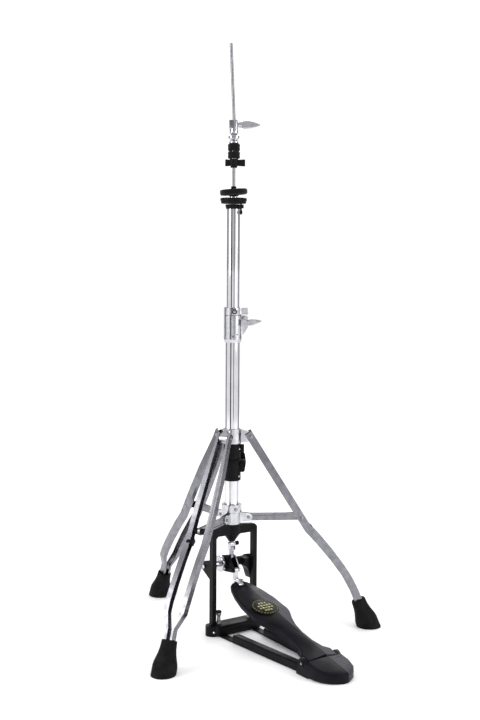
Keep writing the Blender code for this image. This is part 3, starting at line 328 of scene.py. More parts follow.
# Pressed wool felt, dyed black: matted fibres that catch light at the edges.
FELT = Finish(
    "pressed_black_wool_felt", "#121213", "#070708", 0.0, 0.95, 0.04, 1.4, 0.5, 0.180, "felt", sheen=0.12,
)
# Black enamel of the badge, under clear lacquer.
BADGE_ENAMEL = Finish(
    "black_badge_enamel", "#1d1e16", "#10110a", 0.0, 0.45, 0.05, 6, 1.0, 0.006, "black_paint",
)
# Old-gold lacquered brass of the badge's raised ornament.
BADGE_GOLD = Finish(
    "lacquered_brass", "#a39d68", "#7c7748", 0.6, 0.42, 0.08, 3, 0.8, 0.010, "black_paint", coat=0.3,
)
# Socket and slot bottoms of screws, and the ring round the key screw: painted shade in those recesses, on
# steel.
SCREW_SHADE = Finish("painted_recess_shade", "#0d0d0f", "#060607", 0.6, 0.60, 0.05, 3, 0.7, 0.010, "steel")


# Modelling


def finished(
    name: str, shape: bmesh.types.BMesh, finish: Finish, smooth_deg: float = 38.0,
) -> bpy.types.Object:
    """Makes an object at the origin from a bmesh.

    Args:
        name: The piece's name.
        shape: Its mesh, in place, in metres; freed here.
        finish: Its finish.
        smooth_deg: Edges sharper than this stay crisp.

    Returns:
        The new object.
    """
    bmesh.ops.remove_doubles(shape, verts=shape.verts, dist=1e-6)
    bmesh.ops.recalc_face_normals(shape, faces=shape.faces)
    mesh = bpy.data.meshes.new(name)
    shape.to_mesh(mesh)
    shape.free()
    mesh.shade_smooth()
    mesh.set_sharp_from_angle(angle=math.radians(smooth_deg))
    mesh.materials.append(finish.material())
    piece = bpy.data.objects.new(name, mesh)
    bpy.context.scene.collection.objects.link(piece)
    return piece


def placed(shape: bmesh.types.BMesh, matrix: Matrix) -> bmesh.types.BMesh:
    """Moves a whole bmesh by a matrix and returns it."""
    bmesh.ops.transform(shape, matrix=matrix, verts=shape.verts)
    return shape


def join(parts: Iterable[bmesh.types.BMesh]) -> bmesh.types.BMesh:
    """Puts several bmeshes into one.

    Args:
        parts: The bmeshes, each freed here.

    Returns:
        One bmesh that holds them all.
    """
    whole = bmesh.new()
    for part in parts:
        bmesh.ops.recalc_face_normals(part, faces=part.faces)
        mesh = bpy.data.meshes.new("joining")
        part.to_mesh(mesh)
        part.free()
        whole.from_mesh(mesh)
        bpy.data.meshes.remove(mesh)
    return whole


def stand_frame(azimuth: float = 0.0, x: float = 0.0, y: float = 0.0, z: float = 0.0) -> Matrix:
    """A frame round the tube's axis, turned to an azimuth, then moved inside itself by x, y and z."""
    base = Matrix.Translation((0, AXIS_Y, 0)) @ Matrix.Rotation(azimuth, 4, "Z")
    return base @ Matrix.Translation((x, y, z))


def facing(way: Facing) -> Matrix:
    """The turn that lays a piece made along +Z to the way named."""
    if way is Facing.ACROSS:
        return Matrix.Rotation(math.radians(90), 4, "Y")
    if way is Facing.ALONG:
        return Matrix.Rotation(math.radians(-90), 4, "X")
    return Matrix.Identity(4)


def lathe(outline: Outline, steps: int = 64) -> bmesh.types.BMesh:
    """Turns an outline round Z.

    Args:
        outline: Radius and height of each corner; it starts and ends on the axis, or closes on itself.
        steps: Facets round.

    Returns:
        The turned shape.
    """
    shape = bmesh.new()
    verts = [shape.verts.new((r, 0.0, z)) for r, z in outline]
    edges = [shape.edges.new(pair) for pair in zip(verts, verts[1:])]
    if outline[0][0] > 0 or outline[-1][0] > 0:
        edges.append(shape.edges.new((verts[-1], verts[0])))
    axis = {"cent": (0, 0, 0), "axis": (0, 0, 1)}
    bmesh.ops.spin(
        shape, geom=verts + edges, angle=math.tau, steps=steps, use_merge=True, use_duplicate=False, **axis,
    )
    bmesh.ops.remove_doubles(shape, verts=shape.verts, dist=1e-7)
    return shape


def rod(
    radius: float, low: float, high: float, chamfer: float = 0.0003, steps: int = 24,
) -> bmesh.types.BMesh:
    """A round bar along Z from low to high with chamfered ends."""
    edge = min(chamfer, radius * 0.5)
    outline = [
        (0, high), (radius - edge, high), (radius, high - edge), (radius, low + edge), (radius - edge, low),
        (0, low),
    ]
    return lathe(outline, steps)


def plate(
    outline: Outline, thickness: float, bevel: float = 0.0005, segments: int = 2,
) -> bmesh.types.BMesh:
    """A plate in XY, centred on z 0, with bevelled edges.

    Args:
        outline: Its corners in order.
        thickness: Its height along Z.
        bevel: Width of the edge bevel.
        segments: Steps of the bevel.

    Returns:
        The plate.
    """
    shape = bmesh.new()
    face = shape.faces.new([shape.verts.new((x, y, -thickness / 2)) for x, y in outline])
    raised = bmesh.ops.extrude_face_region(shape, geom=[face])["geom"]
    lifted = [v for v in raised if isinstance(v, bmesh.types.BMVert)]
    bmesh.ops.translate(shape, verts=lifted, vec=(0, 0, thickness))
    bmesh.ops.recalc_face_normals(shape, faces=shape.faces)
    if bevel:
        rim = [e for e in shape.edges if abs(e.verts[0].co.z - e.verts[1].co.z) < 1e-9]
        bmesh.ops.bevel(
            shape, geom=rim, offset=bevel, affect="EDGES", segments=segments, profile=0.5, material=-1,
        )
    return shape


def oval(half_x: float, half_y: float, count: int = 48) -> list[tuple[float, float]]:
    """Corners of an oval."""
    turns = [math.tau * i / count for i in range(count)]
    return [(half_x * math.cos(t), half_y * math.sin(t)) for t in turns]


def roughened(shape: bmesh.types.BMesh, size: float, depth: float) -> bmesh.types.BMesh:
    """Moves the vertices along their normals by a steady noise.

    Args:
        shape: The shape, changed in place.
        size: Size of the lumps.
        depth: How far a vertex may move.

    Returns:
        The same shape.
    """
    shape.normal_update()
    for vert in shape.verts:
        vert.co += vert.normal * depth * noise.noise(vert.co / size)
    return shape


def refined(
    node: str, finish: Finish, bevel_mm: float = 0.5, segments: int = 2, limit_deg: float = 33.0,
) -> bpy.types.Object:
    """Makes a finished copy of a CAD node: one skin, rounded edges, smooth round faces.

    Args:
        node: The CAD node that the piece replaces.
        finish: Its finish.
        bevel_mm: Width of the rounding on sharp edges.
        segments: Steps of the rounding.
        limit_deg: Edges sharper than this are rounded.

    Returns:
        The piece, which rides on the node's body and stands for it.
    """
    source = bpy.data.objects[node]
    shape = bmesh.new()
    shape.from_mesh(source.data)
    bmesh.ops.remove_doubles(shape, verts=shape.verts, dist=2e-6)
    bmesh.ops.dissolve_limit(shape, angle_limit=math.radians(0.6), verts=shape.verts, edges=shape.edges)
    mesh = bpy.data.meshes.new(node + "_skin")
    shape.to_mesh(mesh)
    shape.free()
    mesh.shade_smooth()
    mesh.set_sharp_from_angle(angle=math.radians(limit_deg))
    mesh.materials.append(finish.material())
    piece = bpy.data.objects.new(node + "_skin", mesh)
    bpy.context.scene.collection.objects.link(piece)
    if bevel_mm:
        rounding = piece.modifiers.new("rounded_edges", "BEVEL")
        rounding.width = bevel_mm * MM
        rounding.segments = segments
        rounding.limit_method = "ANGLE"
        rounding.angle_limit = math.radians(limit_deg)
        rounding.harden_normals = True
        rounding.use_clamp_overlap = True
    return mounted(piece, source["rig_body"], finish, node)


def mounted(piece: bpy.types.Object, body: str, finish: Finish, *nodes: str) -> bpy.types.Object:
    """Hangs a piece on its body and the nodes that it stands for, and returns it."""
    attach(piece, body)
    if nodes:
        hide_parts(*nodes)
    LOG.info("%s on %s", piece.name, body)
    return piece


def painted(node: str, finish: Finish) -> None:
    """Gives a CAD node that stays as it is its finish."""
    materials = bpy.data.objects[node].data.materials
    materials.clear()
    materials.append(finish.material())


def screw_head(radius: float, height: float, socket: float) -> tuple[bmesh.types.BMesh, bmesh.types.BMesh]:
    """A set screw along +Z from z 0 and a dark hexagon of painted shade in its socket.

    Args:
        radius: Radius of the head.
        height: Height of the head.
        socket: Radius of the hexagon socket.

    Returns:
        The head and the socket's bottom, a dark piece of painted shade.
    """
    outline = [
        (0, 0), (radius, 0), (radius, height * 0.7), (radius * 0.9, height), (socket * 1.1, height),
        (socket, height * 0.9), (socket, height * 0.35), (0, height * 0.35),
    ]
    floor = lathe(
        [
            (0, height * 0.45), (socket * 1.05, height * 0.45), (socket * 1.05, height * 0.3),
            (0, height * 0.3),
        ],
        6,
    )
    return lathe(outline, 24), floor


# Sub-assemblies


@dataclass
class Tubes:
    """The two telescopic tubes and the pull rod inside them."""

    lower_radius: float = 0.0143
    upper_radius: float = 0.0127
    wall: float = 0.0012
    rod_radius: float = 0.003
    bend_height: float = 0.992
    lean: float = math.radians(2.6)

    def tube(self, node: str, radius: float, body: str) -> None:
        """Turns a tube with rolled lips between the node's own ends."""
        low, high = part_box(node)
        foot, top, inner, lip = low.z, high.z, radius - self.wall, 0.0004
        outline = [
            (inner, foot), (radius - lip, foot), (radius, foot + lip), (radius, top - lip),
            (radius - lip, top), (inner + lip, top), (inner, top - lip),
        ]
        shape = placed(lathe(outline, 96), stand_frame())
        mounted(finished(node + "_polished", shape, CHROME), body, CHROME, node)

    def rods(self) -> None:
        """Turns the pull rod's two lengths; the upper one leans above its bend."""
        for node in ("lower_pull_rod", "upper_pull_rod"):
            low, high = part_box(node)
            shape = rod(self.rod_radius, low.z, high.z, 0.0006, 32)
            if node == "upper_pull_rod":
                for height in (self.bend_height - 0.004, self.bend_height + 0.004):
                    everything = shape.verts[:] + shape.edges[:] + shape.faces[:]
                    bmesh.ops.bisect_plane(
                        shape, geom=everything, plane_co=(0, 0, height), plane_no=(0, 0, 1),
                    )
                for vert in shape.verts:
                    over = max(0.0, vert.co.z - self.bend_height)
                    vert.co += Vector(
                        (-math.cos(SIDE_AZIMUTH), -math.sin(SIDE_AZIMUTH), 0)
                    ) * over * math.tan(self.lean)
            mounted(
                finished(node + "_drawn", placed(shape, stand_frame()), DRAWN_STEEL), "pull_rod",
                DRAWN_STEEL, node,
            )

    def build(self) -> None:
        """Builds the tubes and rods, and dresses what runs inside them."""
        self.tube("lower_tube", self.lower_radius, "base")
        self.tube("upper_tube", self.upper_radius, "upper_tube")
        self.rods()
        for node in ("rod_coupling", "spring_cap"):
            refined(node, DRAWN_STEEL, 0.3)
        painted("return_spring", DRAWN_STEEL)
        refined("spring_seat", DRAWN_STEEL, 0.2)
        refined("clamp_bush", NYLON, 0.2)


@dataclass
class HeightClamp:
    """The split clamp on the lower tube, its wing screw and the memory lock above it."""

    outer: float = 0.0175
    seams: tuple[float, ...] = (0.5785, 0.5975)

    def build(self) -> None:
        """Refines the castings and adds the seams, set screws and key screw."""
        refined("height_clamp", CAST_CHROME, 0.9, 3)
        refined("clamp_wing", CAST_CHROME, 0.8, 3)
        refined("memory_lock", CAST_CHROME, 0.8, 3)
        for number, height in enumerate(self.seams):
            outline = [
                (self.outer - 0.001, height - 0.0012), (self.outer + 0.0003, height - 0.0008),
                (self.outer + 0.0003, height + 0.0008), (self.outer - 0.001, height + 0.0012),
            ]
            band = placed(lathe(outline, 64), stand_frame())
            mounted(finished(f"clamp_bead_{number}", band, CAST_CHROME), "base", CAST_CHROME)
        self.socket_screw("clamp_stop_screw", "base", (-1.55, 0.5800), 0.0024, self.outer)
        self.socket_screw("clamp_rear_screw", "base", (-1.05, 0.5835), 0.0018, self.outer)
        self.key_screw()

    def key_screw(self) -> None:
        """Sets the square-headed key screw into the memory lock's boss, with a dark ring of painted shade
        round it.
        """
        matrix = stand_frame(
            SIDE_AZIMUTH, 0.003, -0.0205, 0.6278,
        ) @ Matrix.Rotation(math.radians(90), 4, "X")
        # A dark ring round the key: painted shade in the boss's gap.
        ring = lathe(
            [(0.0030, 0.0006), (0.0046, 0.0006), (0.0050, 0.0002), (0.0050, -0.0008), (0.0030, -0.0008)], 32,
        )
        mounted(finished("memory_key_ring", placed(ring, matrix), SCREW_SHADE), "memory_lock", SCREW_SHADE)
        square = [(-0.0022, -0.0022), (0.0022, -0.0022), (0.0022, 0.0022), (-0.0022, 0.0022)]
        head = placed(plate(square, 0.0050, 0.0006), matrix @ Matrix.Translation((0, 0, 0.0010)))
        mounted(finished("memory_key_head", head, ZINC_STEEL), "memory_lock", ZINC_STEEL)

    def socket_screw(
        self, name: str, body: str, place: tuple[float, float], radius: float, wall: float,
    ) -> None:
        """Sets a small socket screw into a round wall.

        Args:
            name: The piece's name.
            body: The body that it rides on.
            place: Azimuth from the side frame, and height.
            radius: The screw's radius.
            wall: Radius of the wall that it is set in.
        """
        turn, height = place
        head, floor = screw_head(radius, 0.0012, radius * 0.55)
        matrix = stand_frame(SIDE_AZIMUTH + turn, wall - 0.0006, 0, height) @ facing(Facing.ACROSS)
        mounted(finished(name, placed(head, matrix), ZINC_STEEL), body, ZINC_STEEL)
        # The socket's dark bottom is painted shade.
        mounted(finished(name + "_socket", placed(floor, matrix), SCREW_SHADE), body, SCREW_SHADE)


@dataclass
class CymbalSeat:
    """The tilting cup and felt at the top of the upper tube."""

    height: float = 0.8415
    felt_rise: float = 0.0135
    felt_tilt: float = math.radians(-4.0)
    sleeve_radius: float = 0.0053
    felt_outline: Outline = (
        (0.0066, 0.0040), (0.0080, 0.0053), (0.0236, 0.0055), (0.0252, 0.0050), (0.0261, 0.0036),
        (0.0262, 0.0000),
        (0.0261, -0.0028), (0.0250, -0.0043), (0.0233, -0.0050), (0.0104, -0.0058), (0.0080, -0.0078),
        (0.0066, -0.0078),
    )

    def cup(self) -> None:
        """Turns the cup with its ribbed rim and threaded sleeve."""
        foot, top = self.height - 0.0083, self.height + 0.0025
        sleeve, bore, sleeve_top = self.sleeve_radius, 0.0046, self.height + 0.0245
        thread = []
        pitch = 0.0010
        turns = int((sleeve_top - 0.001 - top - 0.001) / pitch)
        for number in range(turns):
            z = sleeve_top - 0.001 - number * pitch
            thread += [(sleeve, z), (sleeve - 0.00035, z - pitch / 2)]
        outline = [
            (bore, sleeve_top), (sleeve - 0.0005, sleeve_top), *thread, (sleeve, top), (0.0236, top),
            (0.0250, top - 0.0004),
            (0.0255, top - 0.0015), (0.0255, top - 0.0048), (0.0250, top - 0.0055), (0.0243, top - 0.0058),
            (0.0243, foot + 0.0022), (0.0238, foot + 0.0008), (0.0225, foot), (bore, foot),
        ]
        shape = placed(lathe(outline, 72), stand_frame())
        mounted(finished("seat_cup_moulded", shape, NYLON), "seat", NYLON, "seat_cup")

    def felt(self) -> None:
        """Makes the tilted felt washer, matted and slightly uneven."""
        shape = lathe(self.felt_outline, 96)
        bmesh.ops.recalc_face_normals(shape, faces=shape.faces)
        shape = roughened(shape, 0.003, 0.00035)
        across = Vector((-math.sin(SIDE_AZIMUTH), math.cos(SIDE_AZIMUTH), 0))
        matrix = stand_frame(
            0, 0, 0, self.height + self.felt_rise,
        ) @ Matrix.Rotation(self.felt_tilt, 4, across)
        piece = mounted(
            finished("seat_felt_pressed", placed(shape, matrix), FELT), "seat", FELT, "seat_felt",
        )

    def build(self) -> None:
        """Builds the seat's pieces."""
        self.cup()
        self.felt()
        refined("seat_washer", CHROME, 0.3)
        refined("seat_base", NYLON, 0.7, 3)
        refined("tilt_screw", NYLON, 0.3)


@dataclass
class Clutch:
    """The clutch that grips the rod, its two felts and its bottom nut."""

    sleeve: float = 0.0054
    felts: tuple[tuple[str, float, float], ...] = (
        ("clutch_felt_upper", 0.9463, 0.9322), ("clutch_felt_lower", 0.9317, 0.9180),
    )

    def felt(self, node: str, top: float, foot: float) -> None:
        """Makes one pressed felt, swollen between its flat faces."""
        inner, height = self.sleeve + 0.0004, top - foot
        outline = [
            (inner, foot), (0.0094, foot), (0.0106, foot + 0.0006), (0.0114, foot + 0.0022),
            (0.01165, foot + 0.0040),
            (0.0113, foot + height * 0.42), (0.0112, foot + height * 0.58), (0.01165, top - 0.0040),
            (0.0114, top - 0.0022), (0.0106, top - 0.0006), (0.0094, top), (inner, top),
        ]
        shape = lathe(outline, 64)
        bmesh.ops.recalc_face_normals(shape, faces=shape.faces)
        shape = placed(roughened(shape, 0.0025, 0.00025), stand_frame())
        piece = mounted(finished(node + "_pressed", shape, FELT), "clutch", FELT, node)

    def build(self) -> None:
        """Builds the clutch's pieces."""
        refined("clutch_body", CAST_CHROME, 0.35)
        refined("clutch_washer", CHROME, 0.3)
        refined("clutch_wing", CAST_CHROME, 0.9, 3)
        refined("clutch_bottom_nut", NYLON, 0.6, 3)
        for node, top, foot in self.felts:
            self.felt(node, top, foot)


@dataclass
class Tripod:
    """The three legs of paired channels, their braces, hubs and rubber feet."""

    hub_height: float = 0.385
    hub_reach: float = 0.035
    brace_height: float = 0.2255
    brace_reach: float = 0.0325
    knee: tuple[float, float] = (0.149, 0.203)
    spread: float = 0.0185
    pin_radius: float = 0.0034

    def joint_reach(self) -> float:
        """Distance from the tube to the pin that joins a leg to its brace."""
        slope = (self.knee[0] - self.hub_reach) / (self.hub_height - self.knee[1])
        return self.hub_reach + slope * (self.hub_height - self.brace_height)

    def rivet(
        self, name: str, body: str, azimuth: float, place: tuple[float, float], outside: float,
    ) -> None:
        """Adds the two domed heads of a rivet.

        Args:
            name: The pieces' name.
            body: The body that they ride on.
            azimuth: Azimuth of the leg.
            place: Distance from the tube, and height.
            outside: Distance of the heads' seat from the leg's middle.
        """
        radius = self.pin_radius
        heads = []
        for sign in (1, -1):
            outline = [
                (0, 0.0016), (radius * 0.55, 0.0013), (radius * 0.9, 0.0006), (radius, -0.0004),
                (0, -0.0004),
            ]
            turn = Matrix.Rotation(math.radians(-90 * sign), 4, "X")
            heads.append(
                placed(lathe(outline, 20), stand_frame(azimuth, place[0], sign * outside, place[1]) @ turn)
            )
        mounted(finished(name, join(heads), DRAWN_STEEL), body, DRAWN_STEEL)

    def bushings(self, name: str, azimuth: float) -> None:
        """Adds the nylon bushings beside a brace's outer end."""
        sleeves = []
        for sign in (1, -1):
            sleeve = rod(0.0058, 0.0028, 0.0116, 0.0005, 24)
            turn = Matrix.Rotation(math.radians(-90 * sign), 4, "X")
            sleeves.append(
                placed(sleeve, stand_frame(azimuth, self.joint_reach(), 0, self.brace_height) @ turn)
            )
        mounted(finished(f"brace_{name}_bushings", join(sleeves), NYLON), f"brace_{name}", NYLON)

    def strap_shade_block(self, name: str, azimuth: float) -> None:
        """Adds a block of the black nylon inside a leg's strap, just below the brace's joint; the dark block
        stands for the shaded inside of the strap, painted shade.
        """
        far, near = -self.spread - 0.0005, -self.spread + 0.0120
        outline = [(-0.0060, far), (0.0060, far), (0.0060, near), (-0.0060, near)]
        matrix = stand_frame(azimuth, self.joint_reach() + 0.0135, 0, self.brace_height - 0.0175)
        block = placed(plate(outline, 0.0120, 0.0008), matrix @ Matrix.Rotation(math.radians(35), 4, "Y"))
        mounted(finished(f"leg_{name}_spacer", block, NYLON), f"leg_{name}", NYLON)

    def leg(self, name: str, azimuth: float) -> None:
        """Refines a leg's straps, foot and brace and adds its rivets."""
        self.bushings(name, azimuth)
        # The dark block inside the strap is painted shade.
        if name != "rear":
            self.strap_shade_block(name, azimuth)
        for side in ("a", "b"):
            refined(f"leg_{name}_strap_{side}", PRESSED_CHROME, 0.45)
        refined(f"rubber_foot_{name}", RUBBER, 1.6, 3)
        refined(f"brace_{name}", PRESSED_CHROME, 0.6)
        self.rivet(
            f"leg_{name}_joint_rivet", f"leg_{name}", azimuth, (self.joint_reach(), self.brace_height),
            self.spread + 0.0032,
        )
        self.rivet(f"leg_{name}_hub_rivet", "hub", azimuth, (self.hub_reach, self.hub_height), 0.0146)
        self.rivet(f"brace_{name}_rivet", "base", azimuth, (self.brace_reach, self.brace_height), 0.0056)

    def build(self) -> None:
        """Builds the tripod."""
        for name, azimuth in LEG_AZIMUTHS.items():
            self.leg(name, azimuth)
        refined("upper_hub", CAST_CHROME, 0.8, 3)
        refined("lower_hub", CAST_CHROME, 0.6, 3)
        refined("hub_screw", ZINC_STEEL, 0.2)
        refined("leg_lock_collar", NYLON, 0.9, 3)
        refined("leg_lock_body", NYLON, 1.1, 3)
        refined("leg_lock_wing", NYLON, 0.9, 3)
        for number, (turn, height) in enumerate(((-0.55, 0.3615), (-0.62, 0.3080))):
            head = lathe(
                [(0, 0.0012), (0.0016, 0.0010), (0.0023, 0.0002), (0.0023, -0.0008), (0, -0.0008)], 24,
            )
            matrix = stand_frame(SIDE_AZIMUTH + turn, 0.0170, 0, height) @ facing(Facing.ACROSS)
            mounted(finished(f"lock_screw_{number}", placed(head, matrix), CHROME), "hub", CHROME)


@dataclass
class Pedal:
    """The cast frame, the heel plate and the footboard with its badge."""

    board_toe: tuple[float, float] = (-0.022, 0.1002)
    slope: float = 0.27
    badge_y: float = -0.121
    badge_centre: float = -0.0060
    spur_place: tuple[float, float] = (0.0365, -0.0105)
    lobe_place: tuple[float, float] = (-0.0495, -0.0085)
    lobe_radius: float = 0.0140
    toe_plate_tilt: float = math.radians(50)
    badge_half: tuple[float, float] = (0.0272, 0.0255)
    badge_lift: float = 0.0036

    def badge(self) -> None:
        """Adds the enamel oval with its gold rim, beads and plain bars."""
        y, z = self.badge_y, self.board_toe[1] + self.slope * (
            self.badge_y - self.board_toe[0]
        ) + self.badge_lift
        matrix = stand_frame(0, self.badge_centre, y, z) @ Matrix.Rotation(math.atan(self.slope), 4, "X")
        half_x, half_y = self.badge_half
        ground = placed(plate(oval(half_x, half_y), 0.0016, 0.0004), matrix)
        mounted(finished("badge_ground", ground, BADGE_ENAMEL), "footboard", BADGE_ENAMEL)
        raised = []
        for scale, width in ((0.96, 0.0014), (0.80, 0.0007)):
            rim = bmesh.new()
            ring = [rim.verts.new((x, v, 0)) for x, v in oval(half_x * scale, half_y * scale, 64)]
            face = rim.faces.new(ring)
            hole = bmesh.ops.inset_region(rim, faces=[face], thickness=width, use_even_offset=True)
            bmesh.ops.delete(rim, geom=[face], context="FACES")
            lifted = bmesh.ops.extrude_face_region(rim, geom=hole["faces"])["geom"]
            tops = [v for v in lifted if isinstance(v, bmesh.types.BMVert)]
            bmesh.ops.translate(rim, verts=tops, vec=(0, 0, 0.0013))
            raised.append(rim)
        for x, v in oval(half_x * 0.885, half_y * 0.885, 26):
            bead = bmesh.new()
            bmesh.ops.create_icosphere(
                bead, subdivisions=2, radius=0.0011, matrix=Matrix.Translation((x, v, 0.0009)),
            )
            raised.append(bead)
        for row, count in zip((-1.5, -0.5, 0.5, 1.5), (3, 5, 5, 3)):
            for bar in range(count):
                width, reach = 0.0022, 0.0040 if (bar + count) % 2 else 0.0052
                outline = [
                    (-width, -reach / 2), (width, -reach / 2), (width, reach / 2), (-width, reach / 2),
                ]
                tile = plate(outline, 0.0008, 0.0003)
                place = ((bar - (count - 1) / 2) * 0.0062, row * 0.0078, 0.0011)
                raised.append(placed(tile, Matrix.Translation(place)))
        mounted(
            finished("badge_ornament", placed(join(raised), matrix), BADGE_GOLD), "footboard", BADGE_GOLD,
        )

    def build(self) -> None:
        """Builds the frame, the heel plate and the footboard."""
        for node in ("yoke", "base_crossbar", "side_rail_left", "side_rail_right"):
            refined(node, BLACK_COAT, 1.4, 3)
        refined("heel_plate", BOARD_COAT, 0.9, 3)
        refined("heel_pin", DRAWN_STEEL, 0.4)
        refined("footboard", BOARD_COAT, 0.9, 3)
        refined("toe_clip", CHROME, 0.5)
        for side in ("left", "right"):
            refined(f"spur_bolt_{side}", DRAWN_STEEL, 0.35)
        self.badge()
        self.trim()
        self.bolts()

    def bolts(self) -> None:
        """Adds the nylon caps on the spur bolts and the bolt heads in the crossbar's lobe."""
        for sign, side in ((1, "right"), (-1, "left")):
            outline = [(0, 0.0470), (0.0046, 0.0466), (0.0056, 0.0455), (0.0056, 0.0432), (0, 0.0432)]
            cap = placed(
                lathe(outline, 32), stand_frame(0, sign * self.spur_place[0], self.spur_place[1], 0),
            )
            mounted(finished(f"spur_cap_{side}", cap, NYLON), f"spur_{side}", NYLON)
        for number, (turn, height) in enumerate(((-112, 0.0085), (-84, 0.0105))):
            head = lathe(
                [(0, 0.0012), (0.0014, 0.0010), (0.0020, 0.0003), (0.0020, -0.0010), (0, -0.0010)], 24,
            )
            matrix = stand_frame(0, *self.lobe_place, height) @ Matrix.Rotation(math.radians(turn), 4, "Z")
            matrix = matrix @ Matrix.Translation((self.lobe_radius, 0, 0)) @ facing(Facing.ACROSS)
            mounted(finished(f"lobe_bolt_{number}", placed(head, matrix), CHROME), "base", CHROME)

    def trim(self) -> None:
        """Adds the hinge caps and the square clamp plate on the board's toe."""
        for sign, side in ((1, "right"), (-1, "left")):
            outline = [
                (0, 0.0010), (0.0030, 0.0010), (0.0034, 0.0004), (0.0044, 0.0004), (0.0048, 0.0012),
                (0.0066, 0.0012),
                (0.0072, 0.0006), (0.0072, -0.0006), (0, -0.0006),
            ]
            turn = Matrix.Rotation(math.radians(90 * sign), 4, "Y")
            cap = placed(lathe(outline, 40), stand_frame(0, sign * 0.0412, -0.278, 0.022) @ turn)
            mounted(finished(f"hinge_cap_{side}", cap, BLACK_COAT), "base", BLACK_COAT)
        square = [(-0.0052, -0.0052), (0.0052, -0.0052), (0.0052, 0.0052), (-0.0052, 0.0052)]
        matrix = stand_frame(0, -0.0045, -0.0375, 0.1032) @ Matrix.Rotation(self.toe_plate_tilt, 4, "X")
        mounted(
            finished("toe_plate", placed(plate(square, 0.0030, 0.0006), matrix), CHROME), "footboard",
            CHROME,
        )
        dimple = placed(
            lathe([(0, 0.0018), (0.0018, 0.0018), (0.0022, 0.0012), (0.0022, 0), (0, 0)], 20), matrix,
        )
        mounted(finished("toe_plate_screw", dimple, ZINC_STEEL), "footboard", ZINC_STEEL)


@dataclass
class Drive:
    """The rocker, chain, clevis and link that turn the pedal's stroke into the rod's."""

    cheek_bevel: float = 0.35
    casting_bevel: float = 0.5

    def build(self) -> None:
        """Refines the drive's pieces."""
        refined("rocker_cam", BLACK_COAT, 0.6)
        for side in ("left", "right"):
            refined(f"rocker_cheek_{side}", BLACK_COAT if side == "left" else CHROME, self.cheek_bevel)
        refined("rocker_axle", CAST_CHROME, 0.4)
        refined("footboard_link", CAST_CHROME, self.casting_bevel)
        refined("drive_chain", ZINC_STEEL, 0.2)
        refined("rod_clevis", CAST_CHROME, self.casting_bevel)
        refined("clevis_screw", BLACK_COAT, 0.4)


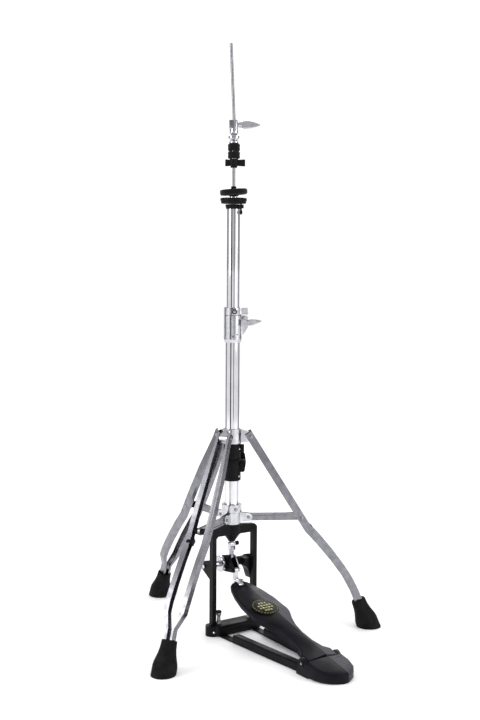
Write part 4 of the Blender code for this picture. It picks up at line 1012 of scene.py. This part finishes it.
@dataclass
class Studio:
    """The pale floor, soft lights, dark reflection cards and the camera."""

    camera_place: tuple[float, float, float] = (-1.2477, -1.7869, 0.7331)
    camera_forward: tuple[float, float, float] = (0.5701, 0.8166, -0.0903)
    roll: float = math.radians(0.383)
    lens: float = 57.13
    floor_radius: float = 60.0
    ambient: float = 1.12
    reflected: float = 0.66
    panels: list[tuple[str, float, float, float, float, float, float]] = field(
        default_factory=lambda: [
            # name, turn from the camera in degrees, distance, height, width, tall, watts
            ("key_panel", -62.0, 2.6, 1.5, 1.2, 1.8, 34.0),
            ("fill_panel", 58.0, 2.6, 1.2, 1.0, 1.8, 22.0),
            ("back_panel", 165.0, 2.8, 1.7, 1.6, 1.2, 20.0),
        ]
    )
    cards: list[tuple[str, float, float, float, str]] = field(
        default_factory=lambda: [
            # name, turn from the camera in degrees, distance, width, colour
            ("left_card", -29.0, 2.1, 0.62, "#08080a"),
            ("right_card", 16.0, 2.9, 0.46, "#3c3c40"),
            ("left_edge_card", -118.0, 2.4, 1.30, "#77777c"),
            ("right_edge_card", 112.0, 2.4, 1.10, "#6a6a70"),
        ]
    )

    def direction(self, degrees: float) -> Vector:
        """The level direction from the tube that lies that far to the right of the camera."""
        back = Vector((-self.camera_forward[0], -self.camera_forward[1], 0)).normalized()
        return Matrix.Rotation(math.radians(degrees), 3, "Z") @ back

    def flat(self, name: str, colour: str, roughness: float) -> bpy.types.Material:
        """A plain stage material."""
        material = bpy.data.materials.new(name)
        material.use_nodes = True
        shader = material.node_tree.nodes["Principled BSDF"]
        shader.inputs["Base Color"].default_value = linear(colour)
        shader.inputs["Roughness"].default_value = roughness
        shader.inputs["Specular IOR Level"].default_value = 0.2
        return material

    def stage(self, name: str, shape: bmesh.types.BMesh, material: bpy.types.Material) -> bpy.types.Object:
        """Makes a stage object that isn't part of the stand."""
        mesh = bpy.data.meshes.new(name)
        shape.to_mesh(mesh)
        shape.free()
        mesh.materials.append(material)
        piece = bpy.data.objects.new(name, mesh)
        bpy.context.scene.collection.objects.link(piece)
        return piece

    def floor(self) -> None:
        """Lays the round pale floor."""
        shape = bmesh.new()
        bmesh.ops.create_circle(shape, cap_ends=True, segments=96, radius=self.floor_radius)
        bmesh.ops.translate(shape, verts=shape.verts, vec=(0, 0, -0.0004))
        self.stage("studio_floor", shape, self.flat("pale_studio_floor", "#f7f7f8", 0.8))

    def card(self, name: str, degrees: float, distance: float, width: float, colour: str) -> None:
        """Stands a card that shows only in reflections."""
        shape = bmesh.new()
        bmesh.ops.create_grid(shape, x_segments=1, y_segments=1, size=0.5)
        bmesh.ops.scale(shape, verts=shape.verts, vec=(width, 3.0, 1.0))
        place = self.direction(degrees) * distance + Vector((0, AXIS_Y, 1.3))
        turn = self.direction(degrees).to_track_quat("Z", "Y").to_matrix().to_4x4()
        piece = self.stage(
            name, placed(shape, Matrix.Translation(place) @ turn), self.flat(name + "_paint", colour, 0.9),
        )
        for ray in ("visible_camera", "visible_diffuse", "visible_shadow", "visible_transmission"):
            setattr(piece, ray, False)

    def panel(
        self, name: str, degrees: float, distance: float, height: float, width: float, tall: float,
        watts: float,
    ) -> None:
        """Hangs a soft panel light that faces the stand."""
        light = bpy.data.lights.new(name, "AREA")
        light.shape = "RECTANGLE"
        light.size, light.size_y, light.energy = width, tall, watts
        lamp = bpy.data.objects.new(name, light)
        place = self.direction(degrees) * distance + Vector((0, AXIS_Y, height))
        aim = Vector((0, AXIS_Y, 0.5)) - place
        lamp.matrix_world = Matrix.Translation(place) @ aim.to_track_quat("-Z", "Y").to_matrix().to_4x4()
        lamp.visible_camera = False
        bpy.context.scene.collection.objects.link(lamp)

    def world(self) -> None:
        """Surrounds the stand with even white light."""
        world = bpy.data.worlds.new("white_studio")
        world.use_nodes = True
        tree = world.node_tree
        background = tree.nodes["Background"]
        background.inputs["Color"].default_value = (1.0, 1.0, 1.0, 1.0)
        path = add_node(tree, "ShaderNodeLightPath")
        dimmed = {"0": path.outputs["Is Glossy Ray"], "1": self.reflected - self.ambient, "2": self.ambient}
        strength = add_node(tree, "ShaderNodeMath", dimmed, operation="MULTIPLY_ADD").outputs[0]
        tree.links.new(strength, background.inputs["Strength"])
        bpy.context.scene.world = world
        bpy.context.scene.view_settings.view_transform = "Standard"

    def camera(self) -> None:
        """Places the camera."""
        data = bpy.data.cameras.new("studio_camera")
        data.lens = self.lens
        data.sensor_width = 36.0
        data.dof.use_dof = False
        camera = bpy.data.objects.new("studio_camera", data)
        forward = Vector(self.camera_forward).normalized()
        level = forward.cross(Vector((0, 0, 1))).normalized()
        right = Matrix.Rotation(-self.roll, 3, forward) @ level
        up = right.cross(forward)
        turn = Matrix((right, up, -forward)).transposed().to_4x4()
        camera.matrix_world = Matrix.Translation(self.camera_place) @ turn
        bpy.context.scene.collection.objects.link(camera)
        bpy.context.scene.camera = camera

    def build(self) -> None:
        """Sets up the studio."""
        self.world()
        self.floor()
        for panel in self.panels:
            self.panel(*panel)
        for card in self.cards:
            self.card(*card)
        self.camera()


def main() -> None:
    """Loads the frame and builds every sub-assembly."""
    logging.basicConfig(level=logging.INFO, format="%(name)s: %(message)s")
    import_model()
    for part in (Tubes(), HeightClamp(), CymbalSeat(), Clutch(), Tripod(), Pedal(), Drive(), Studio()):
        LOG.info("building %s", type(part).__name__)
        part.build()


if __name__ == "__main__":
    main()
